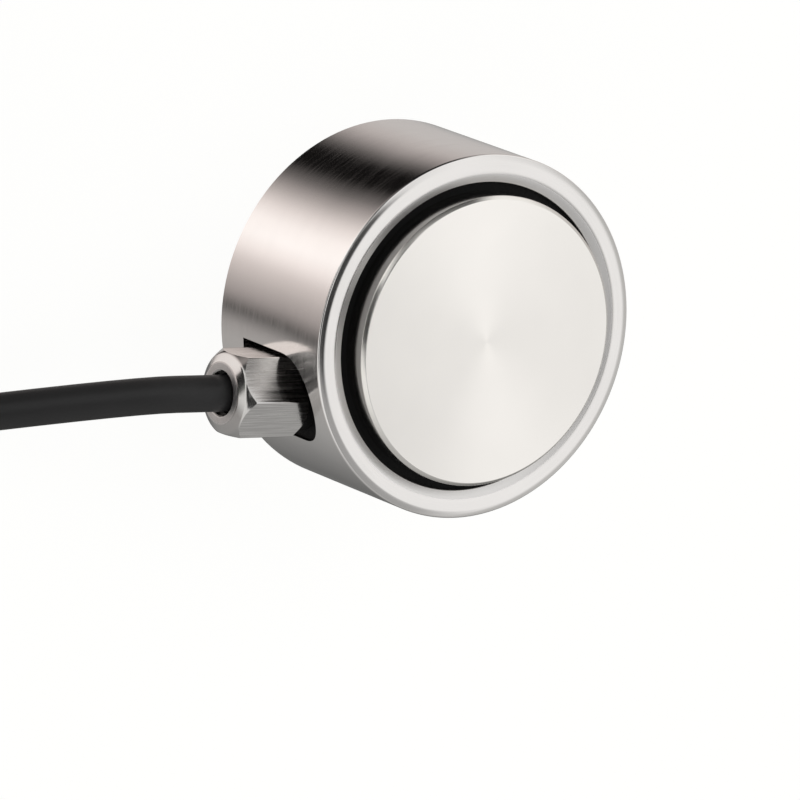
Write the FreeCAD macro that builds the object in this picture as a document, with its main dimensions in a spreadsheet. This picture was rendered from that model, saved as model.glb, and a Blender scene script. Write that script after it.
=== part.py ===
"""Miniature compression load cell: a column under a round load plate, in a polished tube.

Units are millimetres. The origin is the centre of the base, +Z is the load axis, and the
cable leaves towards -X, beside the column.
"""
import FreeCAD, Part
import Sketcher
import math
import os
import re

Vector = FreeCAD.Vector

SIZES = {
    # Tube round the cell.
    "body_diameter": 50.0,
    "body_height": 24.0,
    "wall_thickness": 3.85,
    "rim_chamfer_width": 0.85,
    "rim_chamfer_height": 0.25,
    "bore_bevel_width": 1.2,
    "bore_bevel_depth": 0.4,
    # Slot in the tube for the cable gland, which lies to one side of the load axis.
    "slot_width": 12.1,
    "slot_rise": 8.95,
    "rim_height": 3.05,
    "gland_share": 0.194,
    # Base flange, column and head of the sensing element.
    "nut_clearance": 0.2,
    "step_height": 1.5,
    "step_fit": 0.02,
    "column_width": 12.0,
    "column_chamfer": 1.2,
    "head_width": 18.0,
    "head_thickness": 2.0,
    "spigot_diameter": 12.0,
    "spigot_length": 2.4,
    "spigot_fit": 0.02,
    # Tapped holes in the base.
    "mount_edge": 5.0,
    "mount_hole": 3.3,
    "mount_floor": 0.2,
    "mount_count": 4,
    # Boss that carries the gland, seated in the slot.
    "boss_fit": 0.1,
    "boss_length": 5.8,
    "boss_recess": 6.9,
    # Load plate, and the seal in the groove round it.
    "groove_width": 1.25,
    "plate_proud": 2.9,
    "plate_thickness": 4.6,
    "plate_bevel": 0.45,
    "groove_depth": 1.1,
    "seal_thickness": 1.2,
    # Strain gauges on the column.
    "gauge_width": 4.0,
    "gauge_length": 6.0,
    "gauge_thickness": 0.2,
    # Board for the bridge, on spacers and screws.
    "board_width_share": 0.203,
    "board_length_share": 0.544,
    "board_thickness": 1.6,
    "board_gap": 3.85,
    "spacer_height": 2.0,
    "spacer_flats": 4.0,
    "screw_spread": 5.5,
    "screw_diameter": 2.0,
    "screw_fit": 0.1,
    "screw_head_flats": 3.6,
    "screw_head_height": 1.2,
    "screw_depth": 3.0,
    "resistor_length": 3.2,
    "resistor_width": 1.6,
    "resistor_height": 0.6,
    "resistor_pitch": 2.2,
    "resistor_inset": 0.9,
    "post_width": 0.8,
    "post_inset": 1.2,
    "post_pitch": 2.6,
    # Wires inside.
    "gauge_lead_width": 0.5,
    "gauge_lead_drop": 0.4,
    "gauge_lead_inset": 1.3,
    "core_diameter": 1.0,
    "core_spacing": 1.6,
    "wire_overhang": 0.5,
    # Cable gland, sunk in the slot from the tube's widest line.
    "gasket_thickness": 0.8,
    "gland_thread": 8.0,
    "thread_fit": 0.02,
    "seal_ring_diameter": 10.4,
    "nut_recess": 4.1,
    "nut_length": 11.0,
    "nut_flats": 11.0,
    "nut_mouth": 6.0,
    "nut_mouth_bevel": 0.2,
    "nut_lip": 1.2,
    "nut_corner_chamfer": 1.85,
    "nut_nose_diameter": 8.4,
    "nut_nose_length": 0.7,
    "nut_back_chamfer": 1.0,
    "washer_thickness": 0.4,
    "washer_fit": 0.3,
    "cable_seal_length": 3.6,
    "cable_fit": 0.1,
    # Cable, its coil, and its stripped end.
    "cable_diameter": 5.0,
    "cable_recess": 0.2,
    "cable_straight": 13.2,
    "cable_landing": 53.1,
    "cable_drift": 5.8,
    "coil_distance": 84.0,
    "coil_inner_radius": 16.5,
    "coil_outer_radius": 35.7,
    "coil_layers": 3,
    "coil_start_inset": 2.5,
    "channel_clearance": 2.2,
    "channel_back": 0.4,
    "tie_width": 8.0,
    "tie_thickness": 0.6,
    "tail_radius": 20.2,
    "tail_start": 4.0,
    "tail_length": 13.0,
    "sleeve_length": 7.5,
    "sleeve_wall": 0.4,
    "lead_diameter": 1.2,
    "lead_spacing": 1.5,
    "lead_gap": 0.2,
    "drain_diameter": 0.8,
    "drain_length": 11.0,
}

# Round sizes and heights worked out from those.
BORE = "(body_diameter - 2 * wall_thickness)"
PLATE_DIAMETER = f"({BORE} - 2 * groove_width)"
SLOT_TOP = "(body_height - rim_height)"
SLOT_CENTRE = f"({SLOT_TOP} - slot_width / 2)"
GLAND_HEIGHT = f"({SLOT_TOP} - slot_rise)"
GLAND_OFFSET = "(body_diameter * gland_share)"
FLANGE_TOP = f"({GLAND_HEIGHT} - nut_flats / sqrt(3) - nut_clearance)"
STEP_TOP = f"({FLANGE_TOP} + step_height)"
PLATE_TOP = "(body_height + plate_proud)"
PLATE_BOTTOM = f"({PLATE_TOP} - plate_thickness)"
HEAD_BOTTOM = f"({PLATE_BOTTOM} - head_thickness)"
BOARD_BOTTOM = f"({STEP_TOP} + spacer_height)"
BOARD_TOP = f"({BOARD_BOTTOM} + board_thickness)"
COIL_TOP = "(tie_thickness + coil_layers * cable_diameter)"

# Lengths along the gland, from the load axis.
BOSS_FACE = "(body_diameter / 2 - boss_recess)"
BOSS_BACK = f"({BOSS_FACE} - boss_length)"
NUT_BACK = "(body_diameter / 2 - nut_recess)"
NUT_FRONT = f"({NUT_BACK} + nut_length)"
CABLE_BACK = f"({BOSS_BACK} + cable_recess)"
LIP_BACK = f"({NUT_FRONT} - nut_lip)"
WASHER_BACK = f"({LIP_BACK} - washer_thickness)"
SLEEVE_FRONT = f"({WASHER_BACK} - cable_seal_length)"
GASKET_FACE = f"({BOSS_FACE} + gasket_thickness)"

# The board beside the column, its two rows of terminal posts and the leads of the gauges.
BOARD_WIDTH = f"({BORE} * board_width_share)"
BOARD_LENGTH = f"({BORE} * board_length_share)"
BOARD_CENTRE = f"({BORE} / 2 - board_gap - {BOARD_WIDTH} / 2)"
FIRST_ROW = f"({BOARD_CENTRE} - {BOARD_WIDTH} / 2 + post_inset)"
SECOND_ROW = f"({FIRST_ROW} + post_pitch)"
GAUGE_LEAD_LEVEL = f"({GLAND_HEIGHT} - gauge_lead_drop)"
GAUGE_LEAD_REACH = f"({BOARD_LENGTH} / 2 - gauge_lead_inset)"
GAUGE_FACE = "(column_width / 2 + gauge_thickness + gauge_lead_width / 2)"

doc = FreeCAD.newDocument("LoadCell")
sheet = doc.addObject("Spreadsheet::Sheet", "Sizes")
for row, (alias, size) in enumerate(SIZES.items(), start=1):
    sheet.set(f"A{row}", alias)
    sheet.set(f"B{row}", str(size))
    sheet.setAlias(f"B{row}", alias)
doc.recompute()

# Every sub-part that is written out.
nodes = []


def cells(text):
    """Puts the sheet's name before each size in an expression."""
    return re.sub(r"[a-z]+_[a-z_]+", lambda word: f"Sizes.{word.group()}", text)


def value_of(text):
    """Gives the present value of an expression of sizes."""
    return float(sheet.evalExpression(cells(text)))


def bind(thing, **sizes):
    """Ties properties to expressions of sizes; two underscores stand for a dot."""
    for name, text in sizes.items():
        thing.setExpression(name.replace("__", "."), cells(text))
    return thing


def place(thing, x="0", y="0", z="0", rotation=None):
    """Puts an object at a point given by expressions of sizes, turned if asked."""
    if rotation is not None:
        thing.Placement = FreeCAD.Placement(Vector(), rotation)
    return bind(thing, Placement__Base__x=x, Placement__Base__y=y, Placement__Base__z=z)


def keep(thing, name):
    """Names a finished sub-part and notes it for writing."""
    thing.Label = name
    nodes.append(thing)
    return thing


def new_body(name):
    """Starts a sub-part that is built feature by feature."""
    return keep(doc.addObject("PartDesign::Body", name), name)


def origin_feature(body, role):
    """Finds one of a body's own origin planes or axes."""
    return next(part for part in body.Origin.OriginFeatures if part.Role == role)


def new_sketch(body, plane, offset="0"):
    """Adds an empty sketch on one of the body's origin planes, lifted along its normal."""
    sketch = body.newObject("Sketcher::SketchObject", f"{body.Name}_outline")
    sketch.AttachmentSupport = [(origin_feature(body, plane), "")]
    sketch.MapMode = "FlatFace"
    return bind(sketch, AttachmentOffset__Base__z=offset)


def constrain(sketch, text, kind, *where):
    """Adds a dimension whose value is an expression of sizes."""
    index = sketch.addConstraint(Sketcher.Constraint(kind, *where, value_of(text)))
    sketch.setExpression(f"Constraints[{index}]", cells(text))


def hold_point(sketch, geometry, position, x, y):
    """Fixes a sketch point at a distance from the origin each way."""
    constrain(sketch, x, "DistanceX", -1, 1, geometry, position)
    constrain(sketch, y, "DistanceY", -1, 1, geometry, position)


def draw_outline(sketch, points):
    """Draws a closed outline of straight lines through points given by expressions."""
    corners = [Vector(value_of(x), value_of(y), 0) for x, y in points]
    first = sketch.GeometryCount
    last = first + len(corners) - 1
    for start, end in zip(corners, corners[1:] + corners[:1]):
        sketch.addGeometry(Part.LineSegment(start, end), False)
    for line in range(first, last):
        sketch.addConstraint(Sketcher.Constraint("Coincident", line, 2, line + 1, 1))
    sketch.addConstraint(Sketcher.Constraint("Coincident", last, 2, first, 1))
    for line, (x, y) in enumerate(points, start=first):
        hold_point(sketch, line, 1, x, y)
    return sketch


def draw_circle(sketch, x, y, diameter):
    """Draws a circle whose centre and diameter are expressions."""
    centre = Vector(value_of(x), value_of(y), 0)
    radius = value_of(diameter) / 2
    circle = sketch.addGeometry(Part.Circle(centre, Vector(0, 0, 1), radius), False)
    hold_point(sketch, circle, 3, x, y)
    constrain(sketch, diameter, "Diameter", circle)
    return sketch


def rectangle(x_from, x_to, y_from, y_to):
    """Gives the corners of an upright rectangle."""
    return [(x_from, y_from), (x_to, y_from), (x_to, y_to), (x_from, y_to)]


def extrude(body, kind, sketch, length, reverse=False, midplane=False):
    """Pads or pockets a sketch, and stops if a pocket removes nothing."""
    doc.recompute()
    before = body.Shape.Volume if kind == "Pocket" else 0.0
    feature = body.newObject(f"PartDesign::{kind}", f"{body.Name}_{kind.lower()}")
    feature.Profile = sketch
    feature.Reversed = reverse
    feature.Midplane = midplane
    bind(feature, Length=length)
    doc.recompute()
    if kind == "Pocket" and not body.Shape.Volume < before:
        raise ValueError(f"a pocket of {body.Label} cut nothing")
    return feature


def turned_body(name, profile):
    """Builds a sub-part turned from a profile of radius and height."""
    body = new_body(name)
    sketch = draw_outline(new_sketch(body, "XZ_Plane"), profile)
    doc.recompute()
    turning = body.newObject("PartDesign::Revolution", f"{name}_turning")
    turning.Profile = sketch
    turning.ReferenceAxis = (sketch, ["V_Axis"])
    turning.Angle = 360.0
    doc.recompute()
    return body


def copy_round(body, feature, count):
    """Repeats a feature evenly round the load axis."""
    pattern = body.newObject("PartDesign::PolarPattern", f"{body.Name}_pattern")
    pattern.Originals = [feature]
    pattern.Axis = (origin_feature(body, "Z_Axis"), [""])
    pattern.Angle = 360.0
    bind(pattern, Occurrences=count)
    body.Tip = pattern
    doc.recompute()


def chamfer_edges(body, size, chosen):
    """Chamfers the edges of a body that a test picks out."""
    doc.recompute()
    base = body.Tip
    names = [f"Edge{number}" for number, edge in enumerate(base.Shape.Edges, start=1) if chosen(edge)]
    chamfer = body.newObject("PartDesign::Chamfer", f"{body.Name}_chamfer")
    chamfer.Base = (base, names)
    bind(chamfer, Size=size)
    body.Tip = chamfer
    doc.recompute()


def box(name, length, width, height):
    """Makes a block whose sides are expressions."""
    return bind(doc.addObject("Part::Box", name), Length=length, Width=width, Height=height)


def cylinder(name, diameter, height):
    """Makes an upright cylinder whose sizes are expressions."""
    rod = doc.addObject("Part::Cylinder", name)
    return bind(rod, Radius=f"({diameter}) / 2", Height=height)


def hexagon(name, flats, height):
    """Makes an upright hexagonal bar whose sizes are expressions."""
    bar = doc.addObject("Part::Prism", name)
    bar.Polygon = 6
    return bind(bar, Circumradius=f"({flats}) / sqrt(3)", Height=height)


def combine(kind, name, base, tool):
    """Joins two solids, or takes one out of the other."""
    result = doc.addObject(f"Part::{kind}", name)
    result.Base = base
    result.Tool = tool
    return result


def group(name, members):
    """Collects like pieces in one sub-part, each still a solid of its own."""
    bundle = doc.addObject("Part::Compound", name)
    bundle.Links = members
    return keep(bundle, name)


def routed(name, shape):
    """Adds a sub-part whose shape is worked out from its route."""
    part = doc.addObject("Part::Feature", name)
    part.Shape = shape
    return keep(part, name)


def rounded_path(points, share=0.15):
    """Joins straight runs by tangent arcs, as large as a share of the shorter run allows."""
    edges = []
    radii = []
    start = points[0]
    for before, corner, after in zip(points, points[1:], points[2:]):
        arriving = (corner - before).normalize()
        leaving = (after - corner).normalize()
        half_turn = arriving.getAngle(leaving) / 2
        setback = share * min((corner - before).Length, (after - corner).Length)
        radius = setback / math.tan(half_turn)
        arc_start = corner - arriving * setback
        arc_end = corner + leaving * setback
        inward = (leaving - arriving).normalize()
        middle = corner + inward * (radius / math.cos(half_turn) - radius)
        edges.append(Part.LineSegment(start, arc_start).toShape())
        edges.append(Part.Arc(arc_start, middle, arc_end).toShape())
        radii.append(round(radius, 1))
        start = arc_end
    edges.append(Part.LineSegment(start, points[-1]).toShape())
    return Part.Wire(edges), radii


def tube(label, points, diameter):
    """Sweeps a round section along a route, and compares its volume with section times length."""
    path, radii = rounded_path(points)
    circle = Part.Circle(points[0], points[1] - points[0], diameter / 2)
    shape = path.makePipeShell([Part.Wire([circle.toShape()])], True, False)
    expected = math.pi * diameter ** 2 / 4 * path.Length
    if abs(shape.Volume / expected - 1) > 0.01:
        raise ValueError(f"{label} is not swept whole")
    print(f"{label}: {path.Length:.1f} mm long, bend radii {radii}")
    return shape


def on_gland_axis(body):
    """Lays a turned piece along the gland, with its own height running towards -X."""
    along = FreeCAD.Rotation(Vector(0, 1, 0), -90)
    return place(body, y=f"-{GLAND_OFFSET}", z=GLAND_HEIGHT, rotation=along)


def slot_fill(body, start, length):
    """Pads the slot's outline, less its clearance, towards -X from a distance off the load axis."""
    half = "(slot_width / 2 - boss_fit)"
    foot = draw_outline(
        new_sketch(body, "YZ_Plane", f"-{start}"),
        rectangle(f"-{GLAND_OFFSET} - {half}", f"-{GLAND_OFFSET} + {half}", FLANGE_TOP, SLOT_CENTRE))
    extrude(body, "Pad", foot, length, reverse=True)
    crown = draw_circle(
        new_sketch(body, "YZ_Plane", f"-{start}"), f"-{GLAND_OFFSET}", SLOT_CENTRE, f"2 * {half}")
    extrude(body, "Pad", crown, length, reverse=True)
    hole = draw_circle(
        new_sketch(body, "YZ_Plane", f"-{start}"), f"-{GLAND_OFFSET}", GLAND_HEIGHT,
        "gland_thread + 2 * thread_fit")
    extrude(body, "Pocket", hole, length)


def build_sensing_element():
    """Base flange, column, head, spigot and gland boss, milled in one, with tapped holes."""
    body = turned_body("sensing_element", [
        ("0", "0"),
        ("body_diameter / 2", "0"),
        ("body_diameter / 2", FLANGE_TOP),
        (f"{BORE} / 2 - step_fit", FLANGE_TOP),
        (f"{BORE} / 2 - step_fit", STEP_TOP),
        ("0", STEP_TOP),
    ])
    levels = [
        (STEP_TOP, "column_width / 2", f"{HEAD_BOTTOM} - {STEP_TOP}"),
        (HEAD_BOTTOM, "head_width / 2", "head_thickness"),
    ]
    for level, half, height in levels:
        square = rectangle(f"-{half}", half, f"-{half}", half)
        extrude(body, "Pad", draw_outline(new_sketch(body, "XY_Plane", level), square), height)
    spigot = draw_circle(new_sketch(body, "XY_Plane", PLATE_BOTTOM), "0", "0", "spigot_diameter")
    extrude(body, "Pad", spigot, "spigot_length")

    width = value_of("column_width")
    for height in (value_of(STEP_TOP), value_of(HEAD_BOTTOM)):
        chamfer_edges(body, "column_chamfer", lambda edge: (
            edge.Curve.TypeId == "Part::GeomLine"
            and abs(edge.Length - width) < 1e-4
            and abs(edge.BoundBox.ZMin - height) < 1e-4
            and abs(edge.BoundBox.ZMax - height) < 1e-4))

    relief = draw_outline(
        new_sketch(body, "XY_Plane", STEP_TOP),
        rectangle("-body_diameter", f"-{BOSS_BACK}",
                  f"-{GLAND_OFFSET} - slot_width / 2", f"-{GLAND_OFFSET} + slot_width / 2"))
    extrude(body, "Pocket", relief, "step_height")
    slot_fill(body, BOSS_BACK, "boss_length")
    diagonal = "(body_diameter / 2 - mount_edge) / sqrt(2)"
    mount_depth = f"{FLANGE_TOP} - mount_floor"
    mount_hole = draw_circle(new_sketch(body, "XY_Plane"), diagonal, diagonal, "mount_hole")
    copy_round(body, extrude(body, "Pocket", mount_hole, mount_depth, reverse=True), "mount_count")
    for side in ("-screw_spread", "screw_spread"):
        screw_hole = draw_circle(
            new_sketch(body, "XY_Plane", STEP_TOP), BOARD_CENTRE, side, "screw_diameter")
        extrude(body, "Pocket", screw_hole, "screw_depth")


def build_shell():
    """Polished tube with a chamfered rim and a slot, open at the bottom, round the gland."""
    body = turned_body("shell", [
        (f"{BORE} / 2", FLANGE_TOP),
        ("body_diameter / 2", FLANGE_TOP),
        ("body_diameter / 2", "body_height - rim_chamfer_height"),
        ("body_diameter / 2 - rim_chamfer_width", "body_height"),
        (f"{BORE} / 2 + bore_bevel_width", "body_height"),
        (f"{BORE} / 2", "body_height - bore_bevel_depth"),
    ])
    straight = draw_outline(
        new_sketch(body, "YZ_Plane"),
        rectangle(f"-{GLAND_OFFSET} - slot_width / 2", f"-{GLAND_OFFSET} + slot_width / 2",
                  "0", SLOT_CENTRE))
    extrude(body, "Pocket", straight, "body_diameter")
    crown = draw_circle(new_sketch(body, "YZ_Plane"), f"-{GLAND_OFFSET}", SLOT_CENTRE, "slot_width")
    extrude(body, "Pocket", crown, "body_diameter")


def build_load_plate():
    """Turned disc with a blind socket over the spigot, and the black seal in its groove."""
    turned_body("load_plate", [
        ("0", f"{PLATE_BOTTOM} + spigot_length"),
        ("spigot_diameter / 2 + spigot_fit", f"{PLATE_BOTTOM} + spigot_length"),
        ("spigot_diameter / 2 + spigot_fit", PLATE_BOTTOM),
        (f"{PLATE_DIAMETER} / 2", PLATE_BOTTOM),
        (f"{PLATE_DIAMETER} / 2", f"{PLATE_TOP} - plate_bevel"),
        (f"{PLATE_DIAMETER} / 2 - plate_bevel", PLATE_TOP),
        ("0", PLATE_TOP),
    ])
    turned_body("groove_seal", rectangle(
        f"{PLATE_DIAMETER} / 2", f"{BORE} / 2",
        "body_height - groove_depth - seal_thickness", "body_height - groove_depth"))


def build_gauges():
    """Four foil gauges bonded half-way up the faces of the column."""
    for number in range(4):
        gauge = box(f"gauge_{number}", "gauge_thickness", "gauge_width", "gauge_length")
        turn = FreeCAD.Rotation(Vector(0, 0, 1), 90 * number)
        out = turn.multVec(Vector(1, 0, 0))
        side = turn.multVec(Vector(0, 1, 0))
        place(gauge,
              x=f"column_width / 2 * ({out.x:.0f}) - gauge_width / 2 * ({side.x:.0f})",
              y=f"column_width / 2 * ({out.y:.0f}) - gauge_width / 2 * ({side.y:.0f})",
              z=f"({STEP_TOP} + {HEAD_BOTTOM} - gauge_length) / 2",
              rotation=turn)
        keep(gauge, f"strain_gauge_{number + 1}")


def build_board():
    """Board with its spacers, screws and resistors, beside the column."""
    board = box("board_blank", BOARD_WIDTH, BOARD_LENGTH, "board_thickness")
    place(board, f"{BOARD_CENTRE} - {BOARD_WIDTH} / 2", f"-{BOARD_LENGTH} / 2", BOARD_BOTTOM)
    spacers = []
    screws = []
    clear_hole = "screw_diameter + 2 * screw_fit"
    for side in ("-screw_spread", "screw_spread"):
        hole = place(cylinder("board_hole", clear_hole, "board_thickness"),
                     BOARD_CENTRE, side, BOARD_BOTTOM)
        board = combine("Cut", "board_drilled", board, hole)
        sleeve = place(hexagon("spacer_blank", "spacer_flats", "spacer_height"),
                       BOARD_CENTRE, side, STEP_TOP)
        bore = place(cylinder("spacer_bore", clear_hole, "spacer_height"),
                     BOARD_CENTRE, side, STEP_TOP)
        spacers.append(combine("Cut", "spacer", sleeve, bore))
        shank = place(cylinder("shank", "screw_diameter",
                               "screw_depth + spacer_height + board_thickness"),
                      BOARD_CENTRE, side, f"{STEP_TOP} - screw_depth")
        head = place(hexagon("screw_head", "screw_head_flats", "screw_head_height"),
                     BOARD_CENTRE, side, BOARD_TOP)
        screws.append(combine("Fuse", "screw", shank, head))
    keep(board, "terminal_board")
    group("board_spacers", spacers)
    group("board_screws", screws)

    resistors = []
    for step in (-1, 0, 1):
        chip = box("resistor", "resistor_length", "resistor_width", "resistor_height")
        place(chip, f"{BOARD_CENTRE} + {BOARD_WIDTH} / 2 - resistor_inset - resistor_length",
              f"resistor_pitch * ({step}) - resistor_width / 2", BOARD_TOP)
        resistors.append(chip)
    group("bridge_resistors", resistors)


def build_wiring():
    """Posts on the board, leads from the gauges and cores from the cable, each ending on its post."""
    posts = []
    along = FreeCAD.Rotation(Vector(0, 1, 0), 90)

    def add_post(x, y, wire_level, wire_diameter):
        """Stands a square post under the end of a wire."""
        post = box("post", "post_width", "post_width", f"{wire_level} - {wire_diameter} / 2 - {BOARD_TOP}")
        posts.append(place(post, f"{x} - post_width / 2", f"{y} - post_width / 2", BOARD_TOP))

    leads = []
    straight_leads = [
        (f"{GAUGE_FACE} - gauge_lead_width / 2", "0"),
        ("0", f"-{GAUGE_FACE}"),
        ("0", GAUGE_FACE),
    ]
    half = "gauge_lead_width / 2"

    def ribbon(name, length, width, x, y):
        """Lays a lead of square section level from a corner."""
        return place(box(name, length, width, "gauge_lead_width"), x, y, f"{GAUGE_LEAD_LEVEL} - {half}")

    for start, side in straight_leads:
        length = f"{FIRST_ROW} + wire_overhang - ({start})"
        leads.append(ribbon("gauge_lead", length, "gauge_lead_width", start, f"{side} - {half}"))
        add_post(FIRST_ROW, side, GAUGE_LEAD_LEVEL, "gauge_lead_width")
    corner = f"-{GAUGE_FACE} - {half}"
    behind = ribbon("lead_behind", "gauge_lead_width", f"{GAUGE_LEAD_REACH} + {half}", corner, "0")
    beside = ribbon("lead_beside", f"{FIRST_ROW} + wire_overhang + {GAUGE_FACE} + {half}", "gauge_lead_width",
                    corner, f"{GAUGE_LEAD_REACH} - {half}")
    leads.append(combine("Fuse", "far_gauge_lead", behind, beside))
    add_post(FIRST_ROW, GAUGE_LEAD_REACH, GAUGE_LEAD_LEVEL, "gauge_lead_width")
    group("gauge_leads", leads)

    cores = []
    for row, sign in ((FIRST_ROW, "-"), (SECOND_ROW, "+")):
        level = f"({GLAND_HEIGHT} {sign} core_spacing / 2)"
        for turn in ("-", "+"):
            side = f"(-{GLAND_OFFSET} {turn} core_spacing / 2)"
            core = cylinder("core", "core_diameter", f"{row} + wire_overhang + {CABLE_BACK}")
            cores.append(place(core, f"-{CABLE_BACK}", side, level, along))
            add_post(row, side, level, "core_diameter")
    group("signal_cores", cores)
    group("terminal_posts", posts)


def build_gland():
    """Gasket in the slot, threaded sleeve, seals and the hexagon nut that closes on the cable."""
    slot_fill(new_body("entry_gasket"), BOSS_FACE, "gasket_thickness")

    thread = "gland_thread / 2"
    on_gland_axis(turned_body("gland_body", rectangle(
        "cable_diameter / 2 + cable_fit", thread, BOSS_BACK, SLEEVE_FRONT)))
    on_gland_axis(turned_body("gland_seal_ring", rectangle(
        f"{thread} + thread_fit", "seal_ring_diameter / 2", GASKET_FACE, NUT_BACK)))
    on_gland_axis(turned_body("cable_seal", rectangle(
        "cable_diameter / 2", thread, SLEEVE_FRONT, WASHER_BACK)))
    on_gland_axis(turned_body("gland_washer", rectangle(
        "cable_diameter / 2 + washer_fit", thread, WASHER_BACK, LIP_BACK)))

    corner = "(nut_flats / sqrt(3))"
    nut = turned_body("gland_nut", [
        (f"{thread} + thread_fit", NUT_BACK),
        ("nut_flats / 2", NUT_BACK),
        (corner, f"{NUT_BACK} + nut_back_chamfer"),
        (corner, f"{NUT_FRONT} - nut_corner_chamfer"),
        ("nut_flats / 2", f"{NUT_FRONT} - nut_nose_length"),
        ("nut_nose_diameter / 2", NUT_FRONT),
        ("nut_mouth / 2 + nut_mouth_bevel", NUT_FRONT),
        ("nut_mouth / 2", f"{NUT_FRONT} - nut_mouth_bevel"),
        ("nut_mouth / 2", LIP_BACK),
        (f"{thread} + thread_fit", LIP_BACK),
    ])
    flats = new_sketch(nut, "XY_Plane", NUT_BACK)
    draw_circle(flats, "0", "0", f"4 * {corner}")
    draw_outline(flats, [
        (f"{corner} * cos({60 * side}deg)", f"{corner} * sin({60 * side}deg)") for side in range(6)])
    extrude(nut, "Pocket", flats, "nut_length", reverse=True)
    on_gland_axis(nut)


# Points of the cable, from inside the gland to the coil, which it meets at the last one.
gland_axis = Vector(0, -value_of(GLAND_OFFSET), value_of(GLAND_HEIGHT))
lane = gland_axis.y - value_of("cable_drift")
bottom_level = value_of("tie_thickness + cable_diameter / 2")
coil_x = -value_of("body_diameter / 2 + coil_distance")
CABLE_ROUTE = [
    gland_axis - Vector(value_of(CABLE_BACK), 0, 0),
    gland_axis - Vector(value_of(f"{NUT_FRONT} + cable_straight"), 0, 0),
    Vector(-value_of(f"{NUT_FRONT} + cable_landing"), lane, bottom_level),
    Vector(coil_x, lane, bottom_level),
]

# The coil, whose bottom layer the cable enters, and the cable's end, whose sleeve lies on the coil.
COIL_CENTRE = Vector(coil_x, lane + value_of("coil_outer_radius - coil_start_inset"), 0)
tail_level = value_of(f"{COIL_TOP} + cable_diameter / 2 + sleeve_wall")
TAIL_ROUTE = [
    COIL_CENTRE + Vector(value_of("tail_radius"), value_of("tail_start"), tail_level),
    COIL_CENTRE + Vector(value_of("tail_radius"), value_of("tail_start - tail_length"), tail_level),
]

# Each stripped lead: its side and level in the cable, how far it fans out and its length.
STRIPPED_LEADS = {
    "lead_red": (-1, -1, -4.0, 17.0),
    "lead_black": (-1, 1, -1.5, 20.0),
    "lead_green": (1, 1, 1.5, 19.0),
    "lead_white": (1, -1, 4.0, 16.5),
}


def build_cable():
    """Cable from the gland, its coil with a channel where the cable joins it, the tie and the tail."""
    diameter = value_of("cable_diameter")
    routed("cable", tube("cable", CABLE_ROUTE, diameter))
    routed("cable_tail", tube("cable tail", TAIL_ROUTE, diameter))

    blank = turned_body("coil_blank", rectangle(
        "coil_inner_radius", "coil_outer_radius", "tie_thickness", COIL_TOP))
    nodes.remove(blank)
    blank.Placement.Base = COIL_CENTRE

    joint = CABLE_ROUTE[-1]
    side = "(1.5 * cable_diameter + channel_clearance)"
    channel = box("channel", "coil_outer_radius", side, side)
    place(channel, f"{joint.x} - channel_back", f"{joint.y} - cable_diameter", f"{joint.z} - cable_diameter")
    keep(combine("Cut", "coil_cut", blank, channel), "cable_coil")

    tie = new_body("coil_tie")
    loop = new_sketch(tie, "XZ_Plane")
    outer_end = f"({COIL_CENTRE.x} - coil_outer_radius)"
    inner_end = f"({COIL_CENTRE.x} - sqrt(coil_inner_radius ^ 2 - (tie_width / 2) ^ 2))"
    draw_outline(loop, rectangle(outer_end, inner_end, "tie_thickness", COIL_TOP))
    draw_outline(loop, rectangle(
        f"{outer_end} - tie_thickness", f"{inner_end} + tie_thickness",
        "0", f"{COIL_TOP} + tie_thickness"))
    extrude(tie, "Pad", loop, "tie_width", midplane=True)
    place(tie, y=f"{COIL_CENTRE.y}")


def build_stripped_end():
    """Sleeve over the end of the cable, four stripped leads that fan out on the coil, and the drain wire."""
    end = TAIL_ROUTE[-1]
    ahead = (end - TAIL_ROUTE[-2]).normalize()
    across = Vector(0, 0, 1).cross(ahead).normalize()
    up = ahead.cross(across)
    radius = value_of("cable_diameter") / 2
    length = value_of("sleeve_length")
    outer = Part.makeCylinder(radius + value_of("sleeve_wall"), length, end - ahead * length, ahead)
    inner = Part.makeCylinder(radius, length, end - ahead * length, ahead)
    routed("end_sleeve", outer.cut(inner))

    thickness = value_of("lead_diameter")
    offset = value_of("lead_spacing") / 2
    mouth = end + ahead * value_of("lead_gap")
    for name, (side, level, reach, length) in STRIPPED_LEADS.items():
        tip = end + ahead * length + across * reach
        tip.z = value_of(COIL_TOP) + thickness / 2
        start = mouth + across * (side * offset) + up * (level * offset)
        routed(name, tube(name, [start, tip], thickness))
    drain_tip = mouth + ahead * value_of("drain_length")
    drain_tip.z = value_of(f"{COIL_TOP} + drain_diameter / 2")
    routed("shield_drain", tube("drain wire", [mouth, drain_tip], value_of("drain_diameter")))


def write_parts():
    """Checks every object and sub-part, then writes each sub-part to its file."""
    doc.recompute()
    for thing in doc.Objects:
        if "Invalid" in thing.State or "Error" in thing.State:
            raise ValueError(f"{thing.Label} failed: {thing.State}")
    for node in nodes:
        if node.Shape.isNull() or not node.Shape.isValid():
            raise ValueError(f"{node.Label} has no valid shape")
    os.makedirs("parts", exist_ok=True)
    for node in nodes:
        node.Shape.exportStep(f"parts/{node.Label}.step")
    print(f"{len(nodes)} sub-parts written")


build_sensing_element()
build_shell()
build_load_plate()
build_gauges()
build_board()
build_wiring()
build_gland()
build_cable()
build_stripped_end()
write_parts()
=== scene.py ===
"""Looks of a miniature compression load cell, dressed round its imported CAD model.

The cell is a short polished cylinder with a turned load plate, a hexagon cable gland set in a
slot of its side, and a black signal cable that lies in a tied coil out of the picture. Lengths
are in millimetres where a name ends in _mm or a class or function says so, and in metres otherwise.
"""
import logging
import math
from dataclasses import dataclass, field
from enum import Enum
from typing import Callable, ClassVar, Iterable, Optional, Sequence, Union

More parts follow.
